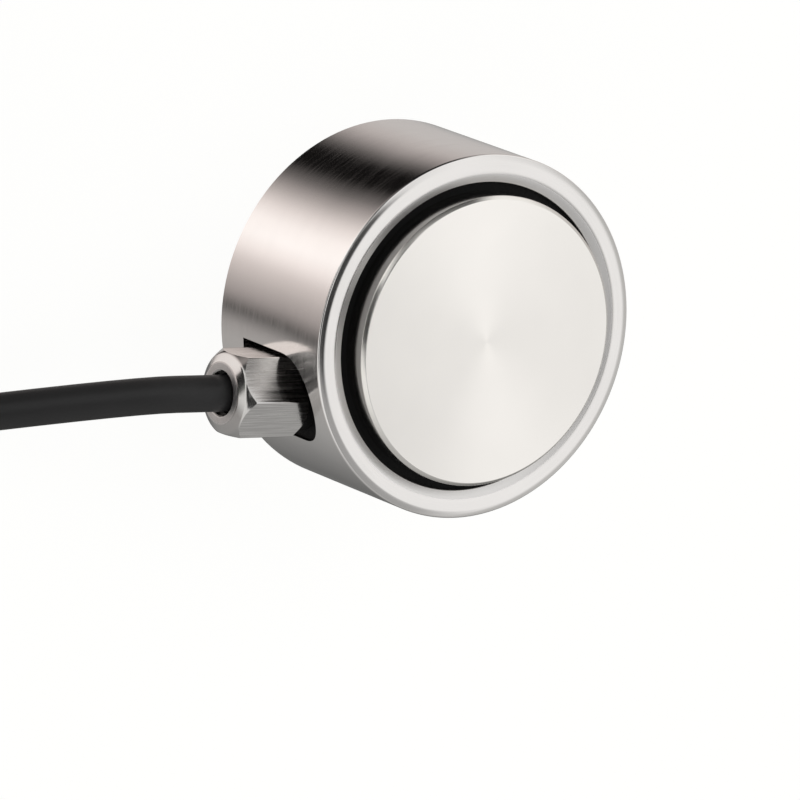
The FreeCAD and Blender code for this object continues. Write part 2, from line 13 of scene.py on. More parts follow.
import bmesh
import bpy
from bmesh.types import BMesh, BMVert
from bpy.types import ID, Material, Mesh, Node, NodeSocket, NodeTree, Object
from mathutils import Matrix, Vector


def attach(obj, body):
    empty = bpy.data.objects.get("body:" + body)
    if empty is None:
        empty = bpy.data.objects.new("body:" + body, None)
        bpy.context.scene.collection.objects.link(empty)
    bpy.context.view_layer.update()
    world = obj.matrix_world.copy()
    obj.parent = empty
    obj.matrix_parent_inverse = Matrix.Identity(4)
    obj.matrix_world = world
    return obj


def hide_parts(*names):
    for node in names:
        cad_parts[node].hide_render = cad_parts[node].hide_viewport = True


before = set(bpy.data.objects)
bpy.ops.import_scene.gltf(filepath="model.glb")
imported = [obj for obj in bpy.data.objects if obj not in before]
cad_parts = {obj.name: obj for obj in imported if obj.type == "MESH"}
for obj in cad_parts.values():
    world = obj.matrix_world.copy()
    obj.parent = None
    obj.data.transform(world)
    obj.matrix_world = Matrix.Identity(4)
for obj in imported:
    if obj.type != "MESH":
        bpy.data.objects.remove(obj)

MM = 0.001
BODY = "root"
# Metres within which points of a CAD copy, or of a new mesh, count as one.
CAD_TOLERANCE = 1e-6
MESH_TOLERANCE = 1e-7
# Parts of the noise's range that clouds, tool marks and dark streaks are drawn from.
NOISE_SPAN = (0.3, 0.7)
MARK_SPAN = (0.28, 0.72)
STREAK_SPAN = (0.40, 0.58)
CLOUD_DETAIL = 2.0

Colour = tuple[float, float, float]
Point = tuple[float, float, float]
Stop = tuple[float, float, float]
Pair = tuple[float, float]
Profile = list[Pair]
SocketValue = Union[float, int, str, Sequence[float], Material, NodeSocket]

log = logging.getLogger("load_cell")


class Grain(Enum):
    """Which way the tool marks run on a metal face."""

    ROUND = "rings round the load axis"
    ALONG = "lines along the gland"
    POLISHED = "fine marks in no direction"


class NodePad:
    """A node tree with short ways to add nodes and wire them."""

    def __init__(self, tree: NodeTree) -> None:
        """Keeps a material's, world's or modifier's node tree, that nodes are added to."""
        self.tree = tree

    def add(self, kind: str, settings: Optional[dict[str, object]] = None,
            **inputs: SocketValue) -> Node:
        """Adds a node and fills its inputs.

        Args:
            kind: The node's Blender type.
            settings: Properties of the node, such as its operation.
            inputs: Values or sockets by input name, with _ for a space, or in0, in1 and so on.

        Returns:
            The new node.
        """
        node = self.tree.nodes.new(kind)
        for name, value in (settings or {}).items():
            setattr(node, name, value)
        for name, value in inputs.items():
            if name.startswith("in") and name[2:].isdigit():
                socket = node.inputs[int(name[2:])]
            else:
                socket = node.inputs[name.replace("_", " ")]
            self.feed(socket, value)
        return node

    def feed(self, socket: NodeSocket, value: SocketValue) -> None:
        """Links a socket to another, or sets its value.

        Args:
            socket: The input to fill.
            value: The socket or the value that it takes.
        """
        if isinstance(value, NodeSocket):
            self.tree.links.new(value, socket)
        else:
            socket.default_value = value

    def math(self, operation: str, first: SocketValue, second: SocketValue = 0.0) -> NodeSocket:
        """Adds a Math node and gives its result."""
        return self.add("ShaderNodeMath", {"operation": operation}, in0=first, in1=second).outputs[0]

    def times(self, first: SocketValue, second: SocketValue) -> NodeSocket:
        """Multiplies two numbers."""
        return self.math("MULTIPLY", first, second)

    def vector(self, operation: str, first: SocketValue,
               second: SocketValue = (0.0, 0.0, 0.0)) -> NodeSocket:
        """Adds a Vector Math node and gives its result, a vector or a number."""
        node = self.add("ShaderNodeVectorMath", {"operation": operation}, in0=first, in1=second)
        return node.outputs["Value" if operation in ("LENGTH", "DOT_PRODUCT") else "Vector"]

    def scaled(self, first: SocketValue, share: SocketValue) -> NodeSocket:
        """Multiplies a vector or a colour by a number."""
        return self.add("ShaderNodeVectorMath", {"operation": "SCALE"}, in0=first, Scale=share).outputs[0]

    def span(self, value: SocketValue, low: float, high: float, start: float, end: float,
             smooth: bool = False) -> NodeSocket:
        """Maps a value from one range to another.

        Args:
            value: What is mapped.
            low: Start of the old range.
            high: End of the old range.
            start: Result at low.
            end: Result at high.
            smooth: Whether the result eases in and out.

        Returns:
            The mapped value.
        """
        style = "SMOOTHSTEP" if smooth else "LINEAR"
        node = self.add("ShaderNodeMapRange", {"interpolation_type": style},
                        Value=value, From_Min=low, From_Max=high, To_Min=start, To_Max=end)
        return node.outputs["Result"]

    def blend(self, share: SocketValue, first: SocketValue, second: SocketValue) -> NodeSocket:
        """Mixes two colours by the share of the second."""
        # The colour sockets of this node come after those for numbers and vectors.
        node = self.add("ShaderNodeMix", {"data_type": "RGBA"}, in0=share, in6=first, in7=second)
        return node.outputs[2]


def rgba(colour: Colour, share: float = 1.0) -> tuple[float, float, float, float]:
    """Gives a colour with full alpha, lightened or darkened by a share."""
    return (colour[0] * share, colour[1] * share, colour[2] * share, 1.0)


class Shade(NodePad):
    """One procedural material under construction."""

    def __init__(self, name: str) -> None:
        """Starts a material whose nodes end in a Principled shader.

        Args:
            name: The finish in a maker's words.
        """
        self.material = bpy.data.materials.new(name)
        self.material.use_nodes = True
        super().__init__(self.material.node_tree)
        self.shader = self.tree.nodes["Principled BSDF"]

    def place(self) -> NodeSocket:
        """Gives the point on the piece, in metres."""
        return self.add("ShaderNodeTexCoord").outputs["Object"]

    def split(self, vector: NodeSocket) -> tuple[NodeSocket, ...]:
        """Gives the three parts of a vector."""
        return tuple(self.add("ShaderNodeSeparateXYZ", in0=vector).outputs)

    def join(self, x: SocketValue, y: SocketValue, z: SocketValue) -> NodeSocket:
        """Gives a vector made of three parts."""
        return self.add("ShaderNodeCombineXYZ", in0=x, in1=y, in2=z).outputs[0]

    def noise(self, vector: NodeSocket, scale: float, detail: float = 3.0) -> NodeSocket:
        """Gives smooth noise at a point."""
        node = self.add("ShaderNodeTexNoise", Vector=vector, Scale=scale, Detail=detail)
        return node.outputs[0]

    def bump(self, height: NodeSocket, strength: float, depth: float) -> None:
        """Raises the surface a little by heights from 0 to 1, at a depth in metres."""
        node = self.add("ShaderNodeBump", Height=height, Strength=strength, Distance=depth)
        self.feed(self.shader.inputs["Normal"], node.outputs[0])

    def set(self, **inputs: SocketValue) -> None:
        """Fills inputs of the Principled shader, with _ for a space."""
        for name, value in inputs.items():
            self.feed(self.shader.inputs[name.replace("_", " ")], value)


@dataclass(frozen=True)
class SteelFinish:
    """Bright metal with fine tool marks that stretch its highlights.

    Between the marks the metal is smoother, and streak is the share of its colour that is lost there.
    """

    name: str
    colour: Colour
    smooth: float
    rough: float
    grain: Grain
    stretch: float = 0.0
    lines_per_metre: float = 5000.0
    relief: float = 0.0
    streak: float = 0.0
    ring_breaks: ClassVar[float] = 170.0
    line_breaks: ClassVar[float] = 130.0
    mark_detail: ClassVar[float] = 4.0
    cloud_scale: ClassVar[float] = 110.0
    worn_share: ClassVar[float] = 0.975
    quarter_turn: ClassVar[float] = 0.25
    relief_depth: ClassVar[float] = 0.00002

    def marks(self, shade: Shade, spot: NodeSocket) -> NodeSocket:
        """Gives the tool marks as noise that is drawn out along the grain.

        Args:
            shade: The material under construction.
            spot: The point on the piece.

        Returns:
            The noise.
        """
        if self.grain is Grain.POLISHED:
            return shade.noise(spot, self.lines_per_metre)
        x, y, z = shade.split(spot)
        if self.grain is Grain.ROUND:
            radius = shade.vector("LENGTH", shade.join(x, y, 0.0))
            across = shade.times(shade.math("ADD", radius, z), self.lines_per_metre)
            lines = shade.join(shade.times(x, self.ring_breaks), shade.times(y, self.ring_breaks), across)
        else:
            lines = shade.join(shade.times(x, self.line_breaks), shade.times(y, self.lines_per_metre),
                               shade.times(z, self.lines_per_metre))
        return shade.noise(lines, 1.0, self.mark_detail)

    def material(self) -> Material:
        """Builds the metal.

        Returns:
            The node material.
        """
        shade = Shade(self.name)
        spot = shade.place()
        marks = self.marks(shade, spot)
        worn = shade.span(shade.noise(spot, self.cloud_scale, CLOUD_DETAIL), *NOISE_SPAN, 0.0, 1.0)
        tone = shade.blend(worn, rgba(self.colour, self.worn_share), rgba(self.colour))
        if self.streak > 0.0:
            bright = shade.span(marks, *STREAK_SPAN, 0.0, 1.0)
            tone = shade.blend(bright, rgba(self.colour, 1.0 - self.streak), tone)
        shade.set(
            Metallic=1.0,
            Base_Color=tone,
            Roughness=shade.span(marks, *MARK_SPAN, self.smooth, self.rough),
            Anisotropic=self.stretch)
        if self.stretch > 0.0:
            along = self.grain is Grain.ALONG
            axis = "X" if along else "Z"
            tangent = shade.add("ShaderNodeTangent", {"direction_type": "RADIAL", "axis": axis})
            shade.set(Tangent=tangent.outputs[0], Anisotropic_Rotation=0.0 if along else self.quarter_turn)
        if self.relief > 0.0:
            shade.bump(marks, self.relief, self.relief_depth)
        return shade.material


@dataclass(frozen=True)
class MouldedFinish:
    """Rubber or plastic with a fine moulded or extruded skin."""

    name: str
    colour: Colour
    smooth: float
    rough: float
    grain_scale: float = 2600.0
    relief: float = 0.25
    gloss: float = 0.5
    cloud_scale: ClassVar[float] = 90.0
    tone_shares: ClassVar[Pair] = (0.86, 1.08)
    relief_depth: ClassVar[float] = 0.00003

    def material(self) -> Material:
        """Builds the moulded skin.

        Returns:
            The node material.
        """
        shade = Shade(self.name)
        spot = shade.place()
        skin = shade.noise(spot, self.grain_scale)
        tone = shade.span(shade.noise(spot, self.cloud_scale, CLOUD_DETAIL), *NOISE_SPAN, 0.0, 1.0)
        dark, light = (rgba(self.colour, share) for share in self.tone_shares)
        shade.set(
            Base_Color=shade.blend(tone, dark, light),
            Roughness=shade.span(skin, *NOISE_SPAN, self.smooth, self.rough),
            Specular_IOR_Level=self.gloss)
        shade.bump(skin, self.relief, self.relief_depth)
        return shade.material


@dataclass(frozen=True)
class PatternFinish:
    """A thin board, film or strap with lines across it in a second colour."""

    name: str
    ground: Colour
    lines: Colour
    pitch_mm: float
    share: float
    roughness: float
    metallic_lines: bool = False
    crossed: bool = False
    line_softness: ClassVar[float] = 0.12
    fleck_scale: ClassVar[float] = 3200.0
    ground_shares: ClassVar[Pair] = (0.85, 1.12)
    fleck_roughness: ClassVar[Pair] = (-0.06, 0.08)
    relief: ClassVar[float] = 0.35
    relief_depth: ClassVar[float] = 0.00008

    def wave(self, shade: Shade, first: NodeSocket, second: NodeSocket) -> NodeSocket:
        """Gives a wave along the sum of two directions."""
        turns = math.tau / (self.pitch_mm * MM)
        return shade.math("SINE", shade.times(shade.math("ADD", first, second), turns))

    def material(self) -> Material:
        """Builds the lined surface.

        Returns:
            The node material.
        """
        shade = Shade(self.name)
        spot = shade.place()
        x, y, z = shade.split(spot)
        wave = self.wave(shade, y, z)
        if self.crossed:
            wave = shade.times(wave, self.wave(shade, x, z))
        edge = 1.0 - 2.0 * self.share
        drawn = shade.span(wave, edge - self.line_softness, edge + self.line_softness, 0.0, 1.0, smooth=True)
        fleck = shade.noise(spot, self.fleck_scale, CLOUD_DETAIL)
        dark, light = (rgba(self.ground, share) for share in self.ground_shares)
        smooth, rough = (self.roughness + change for change in self.fleck_roughness)
        shade.set(Base_Color=shade.blend(drawn, shade.blend(fleck, dark, light), rgba(self.lines)),
                  Roughness=shade.span(fleck, *NOISE_SPAN, smooth, rough))
        if self.metallic_lines:
            shade.set(Metallic=drawn)
        shade.bump(wave, self.relief, self.relief_depth)
        return shade.material


@dataclass(frozen=True)
class FinishBook:
    """Every finish of the cell, by the record's slot or a maker's name."""

    tube_steel: SteelFinish = SteelFinish(
        "ground_tube_steel", (0.92, 0.893, 0.873), 0.10, 0.21, Grain.ROUND, 0.5, 3400.0, 0.14)
    plate_steel: SteelFinish = SteelFinish(
        "turned_plate_steel", (0.965, 0.935, 0.893), 0.205, 0.215, Grain.ROUND, 0.75, 9000.0)
    # The disc's side is a darker copy of the plate's steel: painted shade.
    plate_side: SteelFinish = SteelFinish(
        "polished_plate_side", (0.52, 0.508, 0.495), 0.12, 0.18, Grain.ROUND, 0.3, 6000.0)
    rim_steel: SteelFinish = SteelFinish(
        "faced_rim_steel", (0.845, 0.822, 0.80), 0.12, 0.18, Grain.ROUND, 0.5, 6000.0)
    # The bevel is satin steel, and its colour, lighter than the rim's, is a painted highlight.
    bevel_steel: SteelFinish = SteelFinish(
        "satin_bevel_steel", (0.97, 0.95, 0.93), 0.40, 0.46, Grain.ROUND, 0.0, 6000.0)
    nut_flats: SteelFinish = SteelFinish(
        "brushed_nut_flats", (0.79, 0.771, 0.755), 0.07, 0.30, Grain.ALONG, 0.6, 3200.0, 0.36, 0.16)
    nut_turned: SteelFinish = SteelFinish(
        "polished_nut_nose", (0.68, 0.664, 0.648), 0.12, 0.18, Grain.POLISHED, 0.0, 300.0)
    nut_end: SteelFinish = SteelFinish(
        "faced_nut_end", (0.95, 0.935, 0.92), 0.34, 0.46, Grain.POLISHED, 0.0, 900.0)
    inner_steel: SteelFinish = SteelFinish(
        "milled_inner_steel", (0.66, 0.65, 0.63), 0.26, 0.40, Grain.POLISHED, 0.0, 1600.0, 0.15)
    spacer_metal: SteelFinish = SteelFinish(
        "turned_spacer_metal", (0.80, 0.80, 0.81), 0.25, 0.38, Grain.POLISHED, 0.0, 2200.0, 0.1)
    screw_steel: SteelFinish = SteelFinish(
        "plated_screw_steel", (0.62, 0.62, 0.62), 0.2, 0.35, Grain.POLISHED, 0.0, 2400.0, 0.1)
    post_brass: SteelFinish = SteelFinish(
        "tinned_post_brass", (0.78, 0.62, 0.30), 0.2, 0.34, Grain.POLISHED, 0.0, 2400.0, 0.1)
    tinned_copper: SteelFinish = SteelFinish(
        "tinned_copper_strands", (0.72, 0.70, 0.66), 0.22, 0.36, Grain.POLISHED, 0.0, 5200.0, 0.2)
    black_rubber: MouldedFinish = MouldedFinish(
        "black_seal_rubber", (0.006, 0.006, 0.006), 0.55, 0.75, 3000.0, 0.3, 0.2)
    black_nylon: MouldedFinish = MouldedFinish(
        "black_shrink_sleeve", (0.014, 0.014, 0.015), 0.38, 0.52, 1800.0, 0.25, 0.4)
    cable_jacket: MouldedFinish = MouldedFinish(
        "black_cable_jacket", (0.022, 0.0215, 0.022), 0.40, 0.50, 2400.0, 0.12, 0.4)
    resistor_body: MouldedFinish = MouldedFinish(
        "chip_ceramic", (0.03, 0.03, 0.035), 0.45, 0.6, 4000.0, 0.1)
    wire_film: MouldedFinish = MouldedFinish(
        "enamelled_wire", (0.42, 0.13, 0.05), 0.2, 0.3, 3000.0, 0.05)
    insulation_red: MouldedFinish = MouldedFinish(
        "red_core", (0.55, 0.018, 0.02), 0.28, 0.4, 2400.0, 0.08)
    insulation_black: MouldedFinish = MouldedFinish(
        "black_core", (0.012, 0.012, 0.013), 0.28, 0.4, 2400.0, 0.08)
    insulation_green: MouldedFinish = MouldedFinish(
        "green_core", (0.012, 0.26, 0.06), 0.28, 0.4, 2400.0, 0.08)
    insulation_white: MouldedFinish = MouldedFinish(
        "white_core", (0.80, 0.79, 0.76), 0.28, 0.4, 2400.0, 0.08)
    gauge_film: PatternFinish = PatternFinish(
        "amber_gauge_film", (0.62, 0.33, 0.07), (0.62, 0.58, 0.52), 0.35, 0.45, 0.35, True)
    board_laminate: PatternFinish = PatternFinish(
        "green_board_laminate", (0.02, 0.17, 0.07), (0.04, 0.26, 0.10), 2.6, 0.3, 0.4, False, True)
    tie_fabric: PatternFinish = PatternFinish(
        "woven_strap", (0.017, 0.017, 0.019), (0.035, 0.035, 0.038), 0.55, 0.4, 0.85, False, True)

    def build(self) -> dict[str, Material]:
        """Makes every material, by its field's name."""
        return {name: finish.material() for name, finish in vars(self).items()}


def linked(name: str, data: ID) -> Object:
    """Puts an object in the scene.

    Args:
        name: The object's name.
        data: Its mesh, curve or camera.

    Returns:
        The new object.
    """
    thing = bpy.data.objects.new(name, data)
    bpy.context.scene.collection.objects.link(thing)
    return thing


def round_point(radius: float, turn: float, height: float) -> Point:
    """Gives a point in metres from an angle, and a radius and height in millimetres."""
    return (radius * math.cos(turn) * MM, radius * math.sin(turn) * MM, height * MM)


def smoothstep(share: float) -> float:
    """Eases a share from 0 to 1 in and out."""
    return share * share * (3.0 - 2.0 * share)


def softened(corners: Profile, radii: dict[int, float], steps: int = 5) -> Profile:
    """Rounds chosen corners of a closed profile.

    Args:
        corners: Points of radius and height.
        radii: Rounding radius by corner number.
        steps: Chords in each rounding.

    Returns:
        The profile with an arc in place of each chosen corner.
    """
    result: Profile = []
    count = len(corners)
    for number, corner in enumerate(corners):
        if number not in radii:
            result.append(corner)
            continue
        here = Vector(corner)
        to_last = (Vector(corners[number - 1]) - here).normalized()
        to_next = (Vector(corners[(number + 1) % count]) - here).normalized()
        half = to_last.angle(to_next) / 2
        setback = radii[number] / math.tan(half)
        middle = here + (to_last + to_next).normalized() * (radii[number] / math.sin(half))
        first = here + to_last * setback - middle
        last = here + to_next * setback - middle
        for step in range(steps + 1):
            arm = first.slerp(last, step / steps) * radii[number]
            result.append(tuple(middle + arm))
    return result


class Workshop:
    """Turns plain mesh data into finished pieces of the cell."""

    def __init__(self, finishes: FinishBook) -> None:
        """Makes the materials of all finishes once."""
        self.materials = finishes.build()

    def piece(self, name: str, mesh: Mesh, finish: Union[str, Sequence[str]],
              replaces: Sequence[str], slot: Optional[str] = None) -> Object:
        """Makes a piece of a mesh that is in its place, and hands it to the frame.

        Args:
            name: The piece's name.
            mesh: Its final mesh.
            finish: One finish, or one for each material index.
            replaces: CAD nodes that it stands for.
            slot: The record's material slot, if it isn't the finish's name.

        Returns:
            The new object.
        """
        finishes = [finish] if isinstance(finish, str) else list(finish)
        thing = linked(name, mesh)
        chosen = [face.material_index for face in mesh.polygons]
        mesh.materials.clear()
        for one in finishes:
            mesh.materials.append(self.materials[one])
        mesh.polygons.foreach_set("material_index", chosen)
        self.hand_over(thing, replaces, slot or finishes[0])
        return thing

    def hand_over(self, thing: Object, replaces: Sequence[str], slot: str) -> None:
        """Lets a piece ride on the cell in place of CAD nodes, and reports it.

        Args:
            thing: The finished piece.
            replaces: CAD nodes that it stands for.
            slot: The record's material slot; not used.
        """
        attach(thing, BODY)
        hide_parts(*replaces)
        log.info("%s in place of %s", thing.name, ", ".join(replaces))

    def shade_round(self, mesh: Mesh, angle: float = 28.0) -> None:
        """Smooths round faces and keeps edges sharper than an angle."""
        mesh.shade_smooth()
        mesh.set_sharp_from_angle(angle=math.radians(angle))

    def smooth_copy(self, node: str, finish: str, name: str) -> Object:
        """Replaces a CAD node by a copy with smooth round faces.

        Args:
            node: The CAD node.
            finish: The finish of the copy.
            name: The copy's name.

        Returns:
            The new piece.
        """
        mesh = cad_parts[node].data.copy()
        mesh.name = name
        work = bmesh.new()
        work.from_mesh(mesh)
        bmesh.ops.remove_doubles(work, verts=work.verts, dist=CAD_TOLERANCE)
        work.to_mesh(mesh)
        work.free()
        if "custom_normal" in mesh.attributes:
            mesh.attributes.remove(mesh.attributes["custom_normal"])
        self.shade_round(mesh)
        return self.piece(name, mesh, finish, [node])

    def dress_node(self, node: str, finish: str) -> None:
        """Gives a CAD node that stays a better finish.

        Args:
            node: The CAD node.
            finish: Its finish.
        """
        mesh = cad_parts[node].data
        mesh.materials.clear()
        mesh.materials.append(self.materials[finish])

    def lathe(self, name: str, profile: Profile, segments: int) -> Mesh:
        """Turns a closed profile about the Z axis.

        Args:
            name: The mesh's name.
            profile: Corners of radius and height, in millimetres.
            segments: Faces round the axis.

        Returns:
            The closed mesh, in metres.
        """
        work = bmesh.new()
        turn = math.tau / segments
        rings = []
        for radius, height in profile:
            count = segments if radius > 0.0 else 1
            rings.append([work.verts.new(round_point(radius, turn * k, height)) for k in range(count)])
        self.skin(work, rings)
        return self.finish_mesh(work, name)

    def skin(self, work: BMesh, rings: list[list[BMVert]], closed: bool = True) -> None:
        """Fills the bands between rings, each of which may be a single point.

        Args:
            work: The mesh data.
            rings: Rings of vertices, in order.
            closed: Whether a band joins the last ring to the first. Otherwise both are filled.
        """
        for ring, following in zip(rings, rings[1:] + rings[:1] if closed else rings[1:]):
            count = max(len(ring), len(following))
            for k in range(count if count > 1 else 0):
                corners = [ring[k % len(ring)], ring[(k + 1) % len(ring)],
                           following[(k + 1) % len(following)], following[k % len(following)]]
                work.faces.new(list(dict.fromkeys(corners)))
        if not closed:
            work.faces.new(rings[0])
            work.faces.new(rings[-1])

    def finish_mesh(self, work: BMesh, name: str) -> Mesh:
        """Closes a bmesh: merges doubles, turns faces outwards and smooths it.

        Args:
            work: The mesh data, which is freed.
            name: The mesh's name.

        Returns:
            The finished mesh.
        """
        bmesh.ops.remove_doubles(work, verts=work.verts, dist=MESH_TOLERANCE)
        bmesh.ops.recalc_face_normals(work, faces=work.faces)
        mesh = bpy.data.meshes.new(name)
        work.to_mesh(mesh)
        work.free()
        self.shade_round(mesh)
        return mesh

    def baked(self, thing: Object, name: str) -> Mesh:
        """Turns an object with modifiers into a plain mesh and removes the object.

        Args:
            thing: The object, whose modifiers are set.
            name: The new mesh's name.

        Returns:
            The evaluated mesh.
        """
        graph = bpy.context.evaluated_depsgraph_get()
        mesh = bpy.data.meshes.new_from_object(thing.evaluated_get(graph))
        mesh.name = name
        bpy.data.objects.remove(thing)
        return mesh


@dataclass
class Housing:
    """The polished tube with its slot, and the base flange that closes it. Sizes in millimetres.

    A rounding is given by the number of its corner, and facing_up and wall_tilt are limits of the
    upward part of a face's normal.
    """

    shop: Workshop
    radius: float = 25.0
    bore_radius: float = 21.15
    bottom: float = 5.449
    top: float = 24.0
    chamfer_width: float = 0.85
    chamfer_height: float = 0.25
    bevel_width: float = 1.2
    bevel_depth: float = 0.4
    slot_half: float = 6.05
    slot_centre_y: float = -9.7
    slot_centre_z: float = 14.9
    slot_columns: int = 48
    columns: int = 360
    rim_rounding: ClassVar[dict[int, float]] = {1: 0.35, 2: 2.0, 3: 3.0, 4: 0.15}
    rim_steps: int = 8
    facing_up: float = 0.9
    wall_tilt: float = 0.01

    def upper_profile(self) -> Profile:
        """Gives the rim's section, from the outer wall over the top to the bore.

        Returns:
            Points of radius and height.
        """
        corners = [
            (self.radius, self.slot_centre_z),
            (self.radius, self.top - self.chamfer_height),
            (self.radius - self.chamfer_width, self.top),
            (self.bore_radius + self.bevel_width, self.top),
            (self.bore_radius, self.top - self.bevel_depth),
            (self.bore_radius, self.slot_centre_z),
        ]
        return softened(corners, self.rim_rounding, self.rim_steps)[1:-1]

    def angle_at(self, y: float, radius: float) -> float:
        """Gives the angle at which a line of constant y meets a circle on the gland's side."""
        return math.pi - math.asin(y / radius)

    def column(self, place: float, in_slot: bool) -> tuple[Callable[[float], float], float]:
        """Describes one upright column of the wall.

        Args:
            place: From 0 to 1 across the slot, or across the rest of the wall.
            in_slot: Whether the column stands over the slot.

        Returns:
            The column's angle as a function of radius, and the height of its lower end.
        """
        upper_y = self.slot_centre_y + self.slot_half
        lower_y = self.slot_centre_y - self.slot_half
        if in_slot:
            sweep = math.pi * place
            y = self.slot_centre_y + self.slot_half * math.cos(sweep)
            height = self.slot_centre_z + self.slot_half * math.sin(sweep)
            return (lambda radius: self.angle_at(y, radius)), height

        def angle(radius: float) -> float:
            """Spreads the columns evenly between the slot's two sides."""
            start, end = self.angle_at(lower_y, radius), self.angle_at(upper_y, radius) + math.tau
            return start + (end - start) * place

        return angle, self.slot_centre_z

    def build_tube(self) -> None:
        """Builds the slotted tube from upright columns, with its own finish on the rim, and on the bevel a
        satin steel painted lighter as a highlight.
        """
        work = bmesh.new()
        profile = self.upper_profile()

        def vertex(angle: Callable[[float], float], radius: float, height: float) -> BMVert:
            """Adds a vertex of a column."""
            return work.verts.new(round_point(radius, angle(radius), height))

        strips = []
        for in_slot, count in ((True, self.slot_columns), (False, self.columns)):
            for number in range(count + 1):
                angle, height = self.column(number / count, in_slot)
                upper = [(self.radius, height), *profile, (self.bore_radius, height)]
                loop = [vertex(angle, radius, level) for radius, level in upper]
                feet = [] if in_slot else [
                    vertex(angle, self.radius, self.bottom), vertex(angle, self.bore_radius, self.bottom)]
                strips.append((in_slot, loop, feet))
        for (in_slot, loop, feet), (next_in_slot, next_loop, next_feet) in zip(strips, strips[1:]):
            if in_slot != next_in_slot:
                continue
            for k in range(len(loop) - 1):
                work.faces.new([loop[k], loop[k + 1], next_loop[k + 1], next_loop[k]])
            if in_slot:
                work.faces.new([loop[0], next_loop[0], next_loop[-1], loop[-1]])
            else:
                work.faces.new([feet[0], loop[0], next_loop[0], next_feet[0]])
                work.faces.new([feet[1], next_feet[1], next_loop[-1], loop[-1]])
                work.faces.new([feet[0], next_feet[0], next_feet[1], feet[1]])
        for in_slot, loop, feet in (strips[self.slot_columns + 1], strips[-1]):
            work.faces.new([feet[0], loop[0], loop[-1], feet[1]])
        mesh = self.shop.finish_mesh(work, "slotted_tube")
        bevel_edge = (self.bore_radius + self.bevel_width) * MM
        for face in mesh.polygons:
            face.material_index = 0
            if face.normal.z > self.facing_up:
                # Bevel faces take the lighter satin steel, which is a painted highlight.
                face.material_index = 2 if face.center.xy.length < bevel_edge else 1
        self.shop.piece("slotted_tube", mesh, ["tube_steel", "rim_steel", "bevel_steel"], ["shell"])

    def build(self) -> None:
        """Builds the tube, and a smooth copy of the sensing element with its base flange."""
        self.build_tube()
        base = self.shop.smooth_copy("sensing_element", "tube_steel", "base_and_column")
        self.true_round(base.data)
        self.shop.smooth_copy("groove_seal", "black_rubber", "groove_ring")

    def true_round(self, mesh: Mesh) -> None:
        """Turns the normals of the outer wall straight out from the load axis.

        Args:
            mesh: The mesh of the base.
        """
        normals = [corner.vector.copy() for corner in mesh.corner_normals]
        for face in mesh.polygons:
            if abs(face.normal.z) > self.wall_tilt:
                continue
            for corner in face.loop_indices:
                spot = mesh.vertices[mesh.loops[corner].vertex_index].co
                if abs(math.hypot(spot.x, spot.y) - self.radius * MM) < CAD_TOLERANCE:
                    normals[corner] = Vector((spot.x, spot.y, 0.0)).normalized()
        mesh.normals_split_custom_set(normals)


@dataclass
class LoadPlate:
    """The turned disc that carries the load. Sizes in millimetres.

    A face belongs to the disc's side where the upward part of its normal is less than side_tilt.
    """

    shop: Workshop
    radius: float = 19.9
    bottom: float = 22.3
    top: float = 26.9
    bevel: float = 0.45
    socket_radius: float = 6.02
    socket_top: float = 24.7
    segments: int = 320
    edge_rounding: float = 0.2
    side_tilt: float = 0.2

    def build(self) -> None:
        """Turns the disc, and gives its side a darker copy of the plate's steel as painted shade."""
        corners = [
            (0.0, self.socket_top),
            (self.socket_radius, self.socket_top),
            (self.socket_radius, self.bottom),
            (self.radius, self.bottom),
            (self.radius, self.top - self.bevel),
            (self.radius - self.bevel, self.top),
            (0.0, self.top),
        ]
        profile = softened(corners, {4: self.edge_rounding, 5: self.edge_rounding})
        mesh = self.shop.lathe("turned_plate", profile, self.segments)
        for face in mesh.polygons:
            # Side faces take the darker steel, which is painted shade.
            face.material_index = 1 if abs(face.normal.z) < self.side_tilt else 0
        self.shop.piece("turned_plate", mesh, ["plate_steel", "plate_side"], ["load_plate"])


